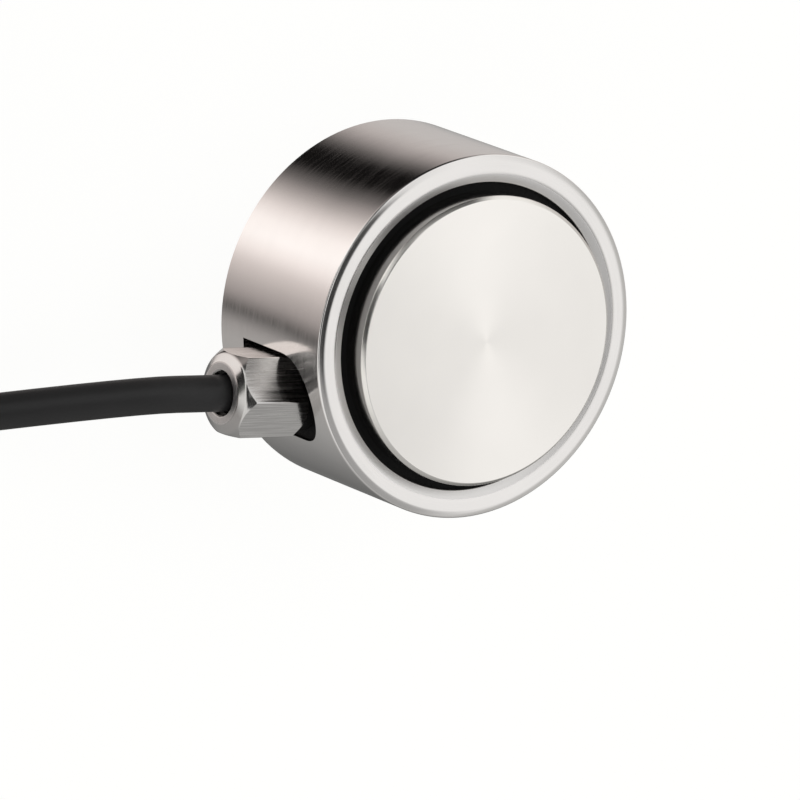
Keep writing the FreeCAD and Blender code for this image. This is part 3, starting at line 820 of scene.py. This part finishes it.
@dataclass
class Gland:
    """The hexagon nut on the cable, and what it clamps. Sizes in millimetres.

    A rounding is given by the number of its corner. flat_tilt and facing_out are limits of a normal's
    part along the gland, bore_margin is a share of the thread's radius, and a seal has its CAD node,
    its finish and its name.
    """

    shop: Workshop
    axis_y: float = -9.7
    axis_z: float = 12.0
    back: float = 20.9
    front: float = 31.9
    flats: float = 11.0
    thread_radius: float = 4.02
    mouth_radius: float = 3.0
    mouth_bevel: float = 0.2
    lip: float = 1.2
    corner_chamfer: float = 1.85
    nose_radius: float = 4.2
    nose_length: float = 0.7
    back_chamfer: float = 1.0
    corner_round: float = 0.25
    overcut: float = 0.4
    segments: int = 216
    nose_rounding: ClassVar[dict[int, float]] = {4: 1.2, 5: 0.9, 6: 0.1, 7: 0.1}
    nose_steps: int = 9
    corner_steps: int = 4
    bar_overhang: float = 1.0
    flat_tilt: float = 1e-3
    facing_out: float = 0.97
    bore_margin: float = 1.1
    sharp_angle: float = 24.0
    seals: tuple[tuple[str, str, str], ...] = (
        # The black rubber gasket across the slot stands for the shade in the slot's recess: painted shade.
        ("entry_gasket", "black_rubber", "slot_gasket"),
        ("gland_seal_ring", "black_rubber", "nut_seal_ring"),
        ("cable_seal", "black_rubber", "cable_bush"),
        ("gland_washer", "black_nylon", "nut_washer"),
        ("gland_body", "inner_steel", "threaded_sleeve"),
    )

    def lay(self) -> Matrix:
        """Gives the move that lays a piece turned about Z along the gland."""
        along = Matrix.Rotation(math.radians(-90.0), 4, "Y")
        return Matrix.Translation((0.0, self.axis_y * MM, self.axis_z * MM)) @ along

    def turned_blank(self) -> Mesh:
        """Turns the nut before its flats are milled.

        Returns:
            The blank, upright on the Z axis.
        """
        corner = self.flats / math.sqrt(3.0)
        half = self.flats / 2
        beyond = 1.0 + self.overcut / (corner - half)
        cone = (self.corner_chamfer - self.nose_length) * beyond
        corners = [
            (self.thread_radius, self.back),
            (half, self.back),
            (corner + self.overcut, self.back + self.back_chamfer * beyond),
            (corner + self.overcut, self.front - self.nose_length - cone),
            (half, self.front - self.nose_length),
            (self.nose_radius, self.front),
            (self.mouth_radius + self.mouth_bevel, self.front),
            (self.mouth_radius, self.front - self.mouth_bevel),
            (self.mouth_radius, self.front - self.lip),
            (self.thread_radius, self.front - self.lip),
        ]
        profile = softened(corners, self.nose_rounding, self.nose_steps)
        return self.shop.lathe("nut_blank", profile, self.segments)

    def hexagon(self) -> Mesh:
        """Makes a hexagonal bar with slightly rounded corners.

        Returns:
            The bar, upright on the Z axis.
        """
        radius = self.flats / math.sqrt(3.0)
        turns = [math.radians(60 * k) for k in range(6)]
        outline = [(radius * math.cos(turn), radius * math.sin(turn)) for turn in turns]
        outline = softened(outline, {k: self.corner_round for k in range(6)}, self.corner_steps)
        work = bmesh.new()
        levels = (self.back - self.bar_overhang, self.front + self.bar_overhang)
        rings = [[work.verts.new((x * MM, y * MM, level * MM)) for x, y in outline] for level in levels]
        self.shop.skin(work, rings, closed=False)
        return self.shop.finish_mesh(work, "hexagon_bar")

    def build_nut(self) -> None:
        """Mills the flats on the turned blank, and gives them and the faced end their own finishes."""
        bar = linked("hexagon_bar", self.hexagon())
        blank = linked("nut_blank", self.turned_blank())
        cut = blank.modifiers.new("flats", "BOOLEAN")
        cut.operation = "INTERSECT"
        cut.solver = "EXACT"
        cut.object = bar
        mesh = self.shop.baked(blank, "hexagon_nut")
        bpy.data.objects.remove(bar)
        mesh.transform(self.lay())
        for face in mesh.polygons:
            is_flat = abs(face.normal.x) < self.flat_tilt and self.is_outside(face.center)
            face.material_index = 0 if is_flat else 1
            if face.normal.x < -self.facing_out:
                face.material_index = 2
        self.shop.shade_round(mesh, self.sharp_angle)
        self.shop.piece(
            "hexagon_nut", mesh, ["nut_flats", "nut_turned", "nut_end"], ["gland_nut"], "nut_nickel")

    def is_outside(self, spot: Vector) -> bool:
        """Tells whether a point lies on the nut's flats, and not in its bore."""
        distance = math.hypot(spot.y - self.axis_y * MM, spot.z - self.axis_z * MM)
        return distance > self.thread_radius * self.bore_margin * MM

    def build(self) -> None:
        """Builds the nut and smooth copies of what it clamps."""
        self.build_nut()
        for node, finish, name in self.seals:
            self.shop.smooth_copy(node, finish, name)


@dataclass
class StrandTree:
    """A Geometry Nodes tree that twists fine wire strands along a straight line."""

    material: Material
    modifier_inputs: dict[str, str] = field(default_factory=dict)
    tree: Optional[NodeTree] = None
    points_along: int = 24
    wire_sides: int = 8
    smooth_angle: float = 40.0

    def build(self) -> "StrandTree":
        """Builds the tree with named inputs.

        Returns:
            This object, ready for use.
        """
        tree = bpy.data.node_groups.new("twisted_strands", "GeometryNodeTree")
        face = tree.interface
        for name, kind, value in (
                ("Start", "NodeSocketVector", (0.0, 0.0, 0.0)),
                ("Tip", "NodeSocketVector", (1.0, 0.0, 0.0)),
                ("Bundle Radius", "NodeSocketFloat", 0.0003),
                ("Strand Radius", "NodeSocketFloat", 0.0001),
                ("Strands", "NodeSocketInt", 7),
                ("Turns", "NodeSocketFloat", 1.5)):
            socket = face.new_socket(name, in_out="INPUT", socket_type=kind)
            socket.default_value = value
            self.modifier_inputs[name] = socket.identifier
        face.new_socket("Geometry", in_out="OUTPUT", socket_type="NodeSocketGeometry")
        pad = NodePad(tree)
        given = pad.add("NodeGroupInput").outputs
        points = pad.add("GeometryNodePoints", Count=given["Strands"])
        number = pad.add("GeometryNodeInputIndex").outputs[0]
        line = pad.add("GeometryNodeCurvePrimitiveLine", Start=(0.0, 0.0, 0.0), End=(0.0, 0.0, 1.0))
        fine = pad.add("GeometryNodeResampleCurve", Curve=line.outputs[0], Count=self.points_along)
        copies = pad.add("GeometryNodeInstanceOnPoints", Points=points.outputs[0], Instance=fine.outputs[0])
        marked = pad.add("GeometryNodeStoreNamedAttribute", {"data_type": "INT", "domain": "INSTANCE"},
                         Geometry=copies.outputs[0], Name="strand", Value=number)
        loose = pad.add("GeometryNodeRealizeInstances", Geometry=marked.outputs[0])
        strand = pad.add("GeometryNodeInputNamedAttribute", {"data_type": "INT"}, Name="strand").outputs[0]
        along = pad.add("GeometryNodeSplineParameter").outputs["Factor"]
        phase = pad.times(strand, pad.math("DIVIDE", math.tau, given["Strands"]))
        angle = pad.math("ADD", phase, pad.times(pad.times(along, given["Turns"]), math.tau))
        direction = pad.vector("SUBTRACT", given["Tip"], given["Start"])
        side = pad.vector("NORMALIZE", pad.vector("CROSS_PRODUCT", direction, (0.0, 0.0, 1.0)))
        rise = pad.vector("NORMALIZE", pad.vector("CROSS_PRODUCT", side, direction))
        spot = given["Start"]
        for arm, reach in (
                (direction, along),
                (side, pad.times(pad.math("COSINE", angle), given["Bundle Radius"])),
                (rise, pad.times(pad.math("SINE", angle), given["Bundle Radius"]))):
            spot = pad.vector("ADD", spot, pad.scaled(arm, reach))
        moved = pad.add("GeometryNodeSetPosition", Geometry=loose.outputs[0], Position=spot)
        circle = pad.add("GeometryNodeCurvePrimitiveCircle", Resolution=self.wire_sides,
                         Radius=given["Strand Radius"])
        wire = pad.add("GeometryNodeCurveToMesh", Curve=moved.outputs[0],
                       Profile_Curve=circle.outputs[0], Fill_Caps=True)
        plain = pad.add("GeometryNodeRealizeInstances", Geometry=wire.outputs[0])
        dressed = pad.add("GeometryNodeSetMaterial", Geometry=plain.outputs[0], Material=self.material)
        pad.add("NodeGroupOutput", in0=dressed.outputs[0])
        self.tree = tree
        return self

    def grow(self, shop: Workshop, name: str, **sizes: SocketValue) -> Mesh:
        """Makes one bundle.

        Args:
            shop: The workshop that turns the result into a mesh.
            name: The mesh's name.
            sizes: Values by input name, with _ for a space.

        Returns:
            The plain mesh of the bundle.
        """
        thing = linked(name, bpy.data.meshes.new(name))
        modifier = thing.modifiers.new("strands", "NODES")
        modifier.node_group = self.tree
        for title, value in sizes.items():
            modifier[self.modifier_inputs[title.replace("_", " ")]] = value
        mesh = shop.baked(thing, name)
        shop.shade_round(mesh, self.smooth_angle)
        return mesh


@dataclass
class SignalCable:
    """The black cable, its tied coil and its stripped end. Sizes in millimetres.

    A lead has a colour, its side and level in the cable, and how far its tip lies across and ahead.
    A bundle has its own radius and a strand's, as shares of a lead's radius or the drain's diameter.
    lead_edge says, in shares of the radius, how far back the rounding of a lead's end starts and how
    wide it ends.
    """

    shop: Workshop
    diameter: float = 5.0
    length: float = 1500.0
    exit: Point = (-31.9, -9.7, 12.0)
    route: tuple[Point, ...] = (
        (-12.5, -9.7, 12.0), (-33.0, -9.7, 12.0), (-45.1, -9.7, 12.0), (-85.0, -15.5, 3.1),
        (-100.0, -15.5, 3.1))
    coil_centre: Pair = (-109.0, 17.7)
    outer_radius: float = 33.2
    inner_radius: float = 19.0
    layers: int = 3
    points_per_layer: int = 68
    points_per_turn: int = 24
    climb_points: int = 5
    low_level: float = 3.1
    coil_top: float = 15.6
    tail: tuple[Point, ...] = ((-88.8, 18.7, 18.5), (-88.8, 8.7, 18.5))
    leads: tuple[tuple[str, int, int, float, float], ...] = (
        ("red", -1, -1, -4.0, 17.0),
        ("black", -1, 1, -1.5, 20.0),
        ("green", 1, 1, 1.5, 19.0),
        ("white", 1, -1, 4.0, 16.5),
    )
    lead_diameter: float = 1.2
    lead_spacing: float = 1.5
    lead_gap: float = 0.2
    stripped: float = 6.0
    drain_diameter: float = 0.8
    drain_length: float = 11.0
    strand_overlap: float = 0.5
    lead_bundle: Pair = (0.52, 0.27)
    lead_strands: int = 7
    lead_turns: float = 1.2
    drain_bundle: Pair = (0.27, 0.22)
    drain_strands: int = 6
    drain_turns: float = 2.5
    lead_edge: Pair = (0.2, 0.85)
    lead_sides: int = 24
    line_order: int = 3
    line_steps: int = 6
    round_steps: int = 7
    smooth_angle: float = 40.0

    def coil_points(self) -> list[Point]:
        """Gives the coil's turns: layers that run inwards and outwards by turns, then a climb on top.

        Returns:
            Control points, in millimetres.
        """
        points: list[Point] = []
        # The points lie a little outside, because the line touches the middles of their edges.
        swell = 1.0 / math.cos(math.pi / self.points_per_turn)
        wound = self.layers * self.points_per_layer
        for number in range(wound + self.climb_points + 1):
            layer = min(number // self.points_per_layer, self.layers - 1)
            share = min(1.0, number / self.points_per_layer - layer)
            inwards = share if layer % 2 == 0 else 1.0 - share
            radius = self.outer_radius + (self.inner_radius - self.outer_radius) * inwards
            level = self.low_level
            for change in range(1, self.layers):
                level += self.diameter * self.eased(number - change * self.points_per_layer)
            climbed = max(0, number - wound) / self.climb_points
            radius += (self.tail[0][0] - self.coil_centre[0] - self.inner_radius) * climbed
            level += (self.tail[0][2] - level) * smoothstep(climbed)
            angle = -math.pi / 2 - math.tau * number / self.points_per_turn
            points.append((self.coil_centre[0] + radius * swell * math.cos(angle),
                           self.coil_centre[1] + radius * swell * math.sin(angle), level))
        return points

    def eased(self, offset: float) -> float:
        """Eases from 0 to 1 across a change of layer."""
        return smoothstep(min(1.0, max(0.0, 0.5 + offset / (2.0 * self.climb_points))))

    def build_cord(self) -> Object:
        """Lays the cable on one smooth line.

        Returns:
            The cable.
        """
        points = [*self.route, *self.coil_points(), *self.tail]
        line = bpy.data.curves.new("cable_line", "CURVE")
        line.dimensions = "3D"
        spline = line.splines.new("NURBS")
        spline.points.add(len(points) - 1)
        for point, spot in zip(spline.points, points):
            point.co = (spot[0] * MM, spot[1] * MM, spot[2] * MM, 1.0)
        spline.order_u = self.line_order
        spline.use_endpoint_u = True
        spline.resolution_u = self.line_steps
        line.bevel_depth = self.diameter / 2 * MM
        line.bevel_resolution = self.round_steps
        line.use_fill_caps = True
        line.materials.append(self.shop.materials["cable_jacket"])
        cord = linked("signal_cable", line)
        self.shop.hand_over(cord, ["cable", "cable_coil", "cable_tail"], "cable_jacket")
        return cord

    def end_frame(self) -> tuple[Vector, Vector, Vector, Vector]:
        """Finds the cable's end.

        Returns:
            The end's centre and the directions ahead, across and up there.
        """
        end = Vector(self.tail[-1])
        ahead = (end - Vector(self.tail[-2])).normalized()
        across = Vector((0.0, 0.0, 1.0)).cross(ahead).normalized()
        return end, ahead, across, ahead.cross(across)

    def tube_mesh(self, work: BMesh, start: Vector, tip: Vector, radius: float) -> None:
        """Adds a closed round bar with a slightly rounded front edge.

        Args:
            work: The mesh data.
            start: Centre of the back end.
            tip: Centre of the front end.
            radius: The bar's radius.
        """
        ahead = (tip - start).normalized()
        side = ahead.orthogonal().normalized()
        up = ahead.cross(side)
        turns = [math.tau * k / self.lead_sides for k in range(self.lead_sides)]
        setback, narrowed = self.lead_edge
        rings = []
        for spot, share in ((start, 1.0), (tip - ahead * radius * setback, 1.0), (tip, narrowed)):
            rings.append([
                work.verts.new((spot + (side * math.cos(turn) + up * math.sin(turn)) * radius * share) * MM)
                for turn in turns])
        self.shop.skin(work, rings, closed=False)

    def build_end(self, strands: StrandTree) -> list[Object]:
        """Builds the sleeve, the four stripped leads with bare strands, and the drain wire.

        Args:
            strands: The tree that twists the bare strands.

        Returns:
            The pieces at the cable's end.
        """
        pieces = [self.shop.smooth_copy("end_sleeve", "black_nylon", "shrink_sleeve")]
        end, ahead, across, up = self.end_frame()
        mouth = end + ahead * self.lead_gap
        radius = self.lead_diameter / 2
        for colour, side, level, reach, length in self.leads:
            tip = end + ahead * length + across * reach
            tip.z = self.coil_top + radius
            start = mouth + (across * side + up * level) * (self.lead_spacing / 2)
            line = (tip - start).normalized()
            bared = tip - line * self.stripped
            work = bmesh.new()
            self.tube_mesh(work, start, bared, radius)
            bundle, strand = (radius * share * MM for share in self.lead_bundle)
            wires = strands.grow(
                self.shop, f"bare_{colour}", Start=tuple((bared - line * self.strand_overlap) * MM),
                Tip=tuple(tip * MM), Bundle_Radius=bundle, Strand_Radius=strand,
                Strands=self.lead_strands, Turns=self.lead_turns)
            mesh = self.shop.finish_mesh(work, f"lead_{colour}_sleeve")
            pieces.append(self.merge(mesh, wires, colour))
        drain_tip = mouth + ahead * self.drain_length
        drain_tip.z = self.coil_top + self.drain_diameter / 2
        bundle, strand = (self.drain_diameter * share * MM for share in self.drain_bundle)
        drain = strands.grow(
            self.shop, "drain_strands", Start=tuple(mouth * MM), Tip=tuple(drain_tip * MM),
            Bundle_Radius=bundle, Strand_Radius=strand, Strands=self.drain_strands, Turns=self.drain_turns)
        pieces.append(self.shop.piece("drain_strands", drain, "tinned_copper", ["shield_drain"]))
        return pieces

    def merge(self, sleeve: Mesh, wires: Mesh, colour: str) -> Object:
        """Joins a lead's insulation and its bare strands in one piece.

        Args:
            sleeve: The insulation.
            wires: The bare strands.
            colour: The lead's colour.

        Returns:
            The finished lead.
        """
        work = bmesh.new()
        work.from_mesh(sleeve)
        first = len(work.faces)
        work.from_mesh(wires)
        work.faces.ensure_lookup_table()
        for face in work.faces[first:]:
            face.material_index = 1
        mesh = bpy.data.meshes.new(f"stripped_{colour}")
        work.to_mesh(mesh)
        work.free()
        self.shop.shade_round(mesh, self.smooth_angle)
        return self.shop.piece(f"stripped_{colour}", mesh, [f"insulation_{colour}", "tinned_copper"],
                               [f"lead_{colour}"])

    def build(self) -> None:
        cord = self.build_cord()
        strands = StrandTree(self.shop.materials["tinned_copper"]).build()
        pieces = self.build_end(strands)
        pieces.append(CoilTie(self.shop).build())


@dataclass
class CoilTie:
    """The woven strap round one side of the coil. Sizes in millimetres."""

    shop: Workshop
    outer_x: float = -144.7
    inner_x: float = -125.01
    centre_y: float = 17.7
    top: float = 15.6
    thickness: float = 0.6
    width: float = 8.0
    rounding: float = 2.2
    steps: int = 6

    def loop(self, offset: float, rounding: float) -> Profile:
        """Gives the strap's loop in the XZ plane.

        Args:
            offset: How far the loop is set off outwards.
            rounding: The radius of its corners.

        Returns:
            Points of X and Z.
        """
        low = self.thickness - offset
        high = self.top + offset
        corners = [(self.outer_x - offset, low), (self.inner_x + offset, low),
                   (self.inner_x + offset, high), (self.outer_x - offset, high)]
        return softened(corners, {k: rounding for k in range(4)}, self.steps)

    def build(self) -> Object:
        """Builds the strap as a closed band.

        Returns:
            The finished piece.
        """
        work = bmesh.new()
        half = self.width / 2
        rings = []
        for offset, side in ((0.0, -half), (self.thickness, -half), (self.thickness, half), (0.0, half)):
            loop = self.loop(offset, self.rounding + offset)
            rings.append([work.verts.new((x * MM, (self.centre_y + side) * MM, z * MM)) for x, z in loop])
        self.shop.skin(work, rings)
        return self.shop.piece(
            "coil_strap", self.shop.finish_mesh(work, "coil_strap"), "tie_fabric", ["coil_tie"])


@dataclass
class Electronics:
    """The gauges, board and wires inside the closed cell."""

    shop: Workshop
    finishes: dict[str, str] = field(default_factory=lambda: {
        **{f"strain_gauge_{number}": "gauge_film" for number in range(1, 5)},
        "terminal_board": "board_laminate",
        "board_spacers": "spacer_metal",
        "board_screws": "screw_steel",
        "bridge_resistors": "resistor_body",
        "terminal_posts": "post_brass",
        "gauge_leads": "wire_film",
        "signal_cores": "insulation_white",
    })

    def build(self) -> None:
        """Gives each of these CAD nodes its finish."""
        for node, finish in self.finishes.items():
            self.shop.dress_node(node, finish)


@dataclass(frozen=True)
class Flag:
    """A dark card: its direction, the cosines at its rim and core, and the share of light it leaves."""

    direction: Point
    rim: float
    core: float
    shade: float


@dataclass
class Studio:
    """Pale floor, soft light and the camera at the photograph's angle.

    A stop of the light has an angle round the cell in degrees and a level, and those of the light
    from below the horizon also say how pink it is, from 0 to 1. Heights are those of a direction's
    unit vector, and the bright strip of the sky is square to strip_axis.
    """

    camera_place: Point = (-0.76076, 0.25014, 1.09889)
    camera_right: Point = (0.8273, 0.1057, 0.55174)
    camera_up: Point = (0.02175, 0.97538, -0.21948)
    camera_back: Point = (-0.56135, 0.19358, 0.80463)
    lens: float = 450.0
    sensor: float = 36.0
    picture_shift: Pair = (-0.0015, 0.0006)
    clip: Pair = (0.05, 50.0)
    floor_size: float = 12.0
    floor_gap: float = 0.00004
    paper: Colour = (0.9, 0.9, 0.895)
    glow: Colour = (1.0, 0.999, 0.988)
    glow_strength: float = 1.095
    glow_share: float = 0.85
    backdrop: Colour = (1.0, 1.0, 0.985)
    strip_axis: Point = (-0.828, -0.132, 0.545)
    strip_width: float = 0.24
    strip_levels: Pair = (0.985, 0.87)
    sky_heights: Pair = (0.42, 0.72)
    under_heights: Pair = (-0.14, 0.04)
    pink_loss: Pair = (0.09, 0.105)
    warm_blue: float = 0.985
    under_stops: tuple[Stop, ...] = (
        (-180.0, 0.50, 1.0), (-171.0, 0.36, 1.0), (-161.0, 0.09, 0.6), (-151.0, 0.35, 0.5),
        (-141.0, 0.40, 0.3), (-100.0, 0.34, 0.0), (-71.0, 0.21, 0.0), (-45.0, 0.14, 0.0), (-21.0, 0.17, 0.0),
        (0.0, 0.45, 0.2), (9.0, 0.54, 0.5), (30.0, 0.57, 0.5), (47.0, 0.52, 0.9), (59.0, 0.33, 1.0),
        (69.0, 0.12, 0.9), (78.0, 0.004, 0.8), (96.0, 0.004, 0.8), (107.0, 0.15, 0.9), (118.0, 0.46, 1.0),
        (129.0, 0.85, 0.9), (139.0, 1.08, 0.65), (150.0, 1.13, 0.5), (159.0, 1.0, 0.8), (169.0, 0.7, 1.0),
        (180.0, 0.50, 1.0))
    low_stops: tuple[Pair, ...] = (
        (-180.0, 1.0), (-130.0, 0.75), (-100.0, 0.42), (-60.0, 0.38), (-45.0, 0.46), (-30.0, 0.58),
        (0.0, 0.54), (15.0, 0.46), (40.0, 0.9), (58.0, 0.9), (70.0, 0.06), (122.0, 0.06), (138.0, 0.9),
        (180.0, 1.0))
    # Three flags stand over the cable's side, one is overhead, and a paler one is towards -Y.
    flags: tuple[Flag, ...] = (
        Flag((-0.838, 0.10, 0.536), 0.915, 0.972, 0.03),
        Flag((-0.37, 0.475, 0.798), 0.95, 0.975, 0.04),
        Flag((-0.62, -0.20, 0.759), 0.96, 0.985, 0.04),
        Flag((0.07, -0.03, 0.9971), 0.935, 0.98, 0.04),
        Flag((0.22, -0.53, 0.819), 0.90, 0.965, 0.45))

    def build_camera(self) -> None:
        """Sets the camera by its three axes."""
        data = bpy.data.cameras.new("photo_camera")
        data.lens = self.lens
        data.sensor_width = self.sensor
        data.shift_x, data.shift_y = self.picture_shift
        data.clip_start, data.clip_end = self.clip
        camera = linked("photo_camera", data)
        axes = Matrix((self.camera_right, self.camera_up, self.camera_back)).transposed().to_4x4()
        camera.matrix_world = Matrix.Translation(self.camera_place) @ axes
        bpy.context.scene.camera = camera

    def build_floor(self) -> None:
        """Lays the pale floor, which glossy faces don't mirror and which is clear from below."""
        half = self.floor_size / 2
        mesh = bpy.data.meshes.new("floor")
        corners = [(x * half, y * half, -self.floor_gap) for x, y in ((-1, -1), (1, -1), (1, 1), (-1, 1))]
        mesh.from_pydata(corners, [], [(0, 1, 2, 3)])
        material = bpy.data.materials.new("pale_floor")
        material.use_nodes = True
        pad = NodePad(material.node_tree)
        material.node_tree.nodes.remove(material.node_tree.nodes["Principled BSDF"])
        paper = pad.add("ShaderNodeBsdfDiffuse", Color=rgba(self.paper))
        glow = pad.add("ShaderNodeEmission", Color=rgba(self.glow), Strength=self.glow_strength)
        mixed = pad.add("ShaderNodeMixShader", in0=self.glow_share, in1=paper.outputs[0], in2=glow.outputs[0])
        below = pad.add("ShaderNodeNewGeometry").outputs["Backfacing"]
        clear = pad.add("ShaderNodeBsdfTransparent")
        seen = pad.add("ShaderNodeMixShader", in0=below, in1=mixed.outputs[0], in2=clear.outputs[0])
        pad.feed(material.node_tree.nodes["Material Output"].inputs[0], seen.outputs[0])
        mesh.materials.append(material)
        floor = linked("floor", mesh)
        floor.visible_glossy = False

    def round_ramp(self, pad: NodePad, turn: NodeSocket,
                   values: Sequence[Stop]) -> NodeSocket:
        """Gives a warm grey that changes with the direction round the cell.

        Args:
            pad: The world's nodes.
            turn: The direction, from 0 at -180 degrees to 1 at 180.
            values: Angles in degrees, their grey, and how pink it is from 0 to 1.

        Returns:
            The colour.
        """
        ramp = pad.add("ShaderNodeValToRGB", Fac=turn)
        stops = ramp.color_ramp.elements
        while len(stops) < len(values):
            stops.new(0.5)
        for stop, (angle, value, pink) in zip(stops, values):
            stop.position = (angle + 180.0) / 360.0
            green = 1.0 - self.pink_loss[0] * pink
            blue = self.warm_blue - self.pink_loss[1] * pink
            stop.color = (value, value * green, value * blue, 1.0)
        return ramp.outputs["Color"]

    def build_light(self) -> None:
        """Surrounds the cell with soft light, darker where flags stand round and over it."""
        world = bpy.data.worlds.new("studio")
        world.use_nodes = True
        bpy.context.scene.world = world
        pad = NodePad(world.node_tree)
        way = pad.add("ShaderNodeTexCoord").outputs["Generated"]
        x, y, z = pad.add("ShaderNodeSeparateXYZ", in0=way).outputs
        turn = pad.span(pad.math("ARCTAN2", y, x), -math.pi, math.pi, 0.0, 1.0)
        under = self.round_ramp(pad, turn, self.under_stops)
        level = self.round_ramp(pad, turn, [(angle, value, 0.0) for angle, value in self.low_stops])
        spread = pad.math("ABSOLUTE", pad.vector("DOT_PRODUCT", way, self.strip_axis))
        upper = pad.span(spread, 0.0, self.strip_width, *self.strip_levels, smooth=True)
        sky = pad.add("ShaderNodeCombineColor", in0=upper, in1=upper, in2=upper).outputs[0]
        sky = pad.blend(pad.span(z, *self.sky_heights, 0.0, 1.0, smooth=True), level, sky)
        for flag in self.flags:
            toward = pad.vector("DOT_PRODUCT", way, flag.direction)
            sky = pad.scaled(sky, pad.span(toward, flag.rim, flag.core, 1.0, flag.shade, smooth=True))
        colour = pad.blend(pad.span(z, *self.under_heights, 0.0, 1.0, smooth=True), under, sky)
        direct = pad.add("ShaderNodeLightPath").outputs["Is Camera Ray"]
        colour = pad.blend(direct, colour, rgba(self.backdrop))
        background = world.node_tree.nodes["Background"]
        pad.feed(background.inputs["Color"], colour)
        background.inputs["Strength"].default_value = 1.0

    def build(self) -> None:
        """Builds the whole studio."""
        scene = bpy.context.scene
        scene.view_settings.view_transform = "Standard"
        scene.view_settings.look = "None"
        self.build_camera()
        self.build_floor()
        self.build_light()


def main() -> None:
    """Builds the studio, then the cell's sub-assemblies in order."""
    logging.basicConfig(level=logging.INFO, format="%(name)s: %(message)s")
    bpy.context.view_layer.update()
    Studio().build()
    shop = Workshop(FinishBook())
    SignalCable(shop).build()
    Housing(shop).build()
    LoadPlate(shop).build()
    Gland(shop).build()
    Electronics(shop).build()


if __name__ == "__main__":
    main()
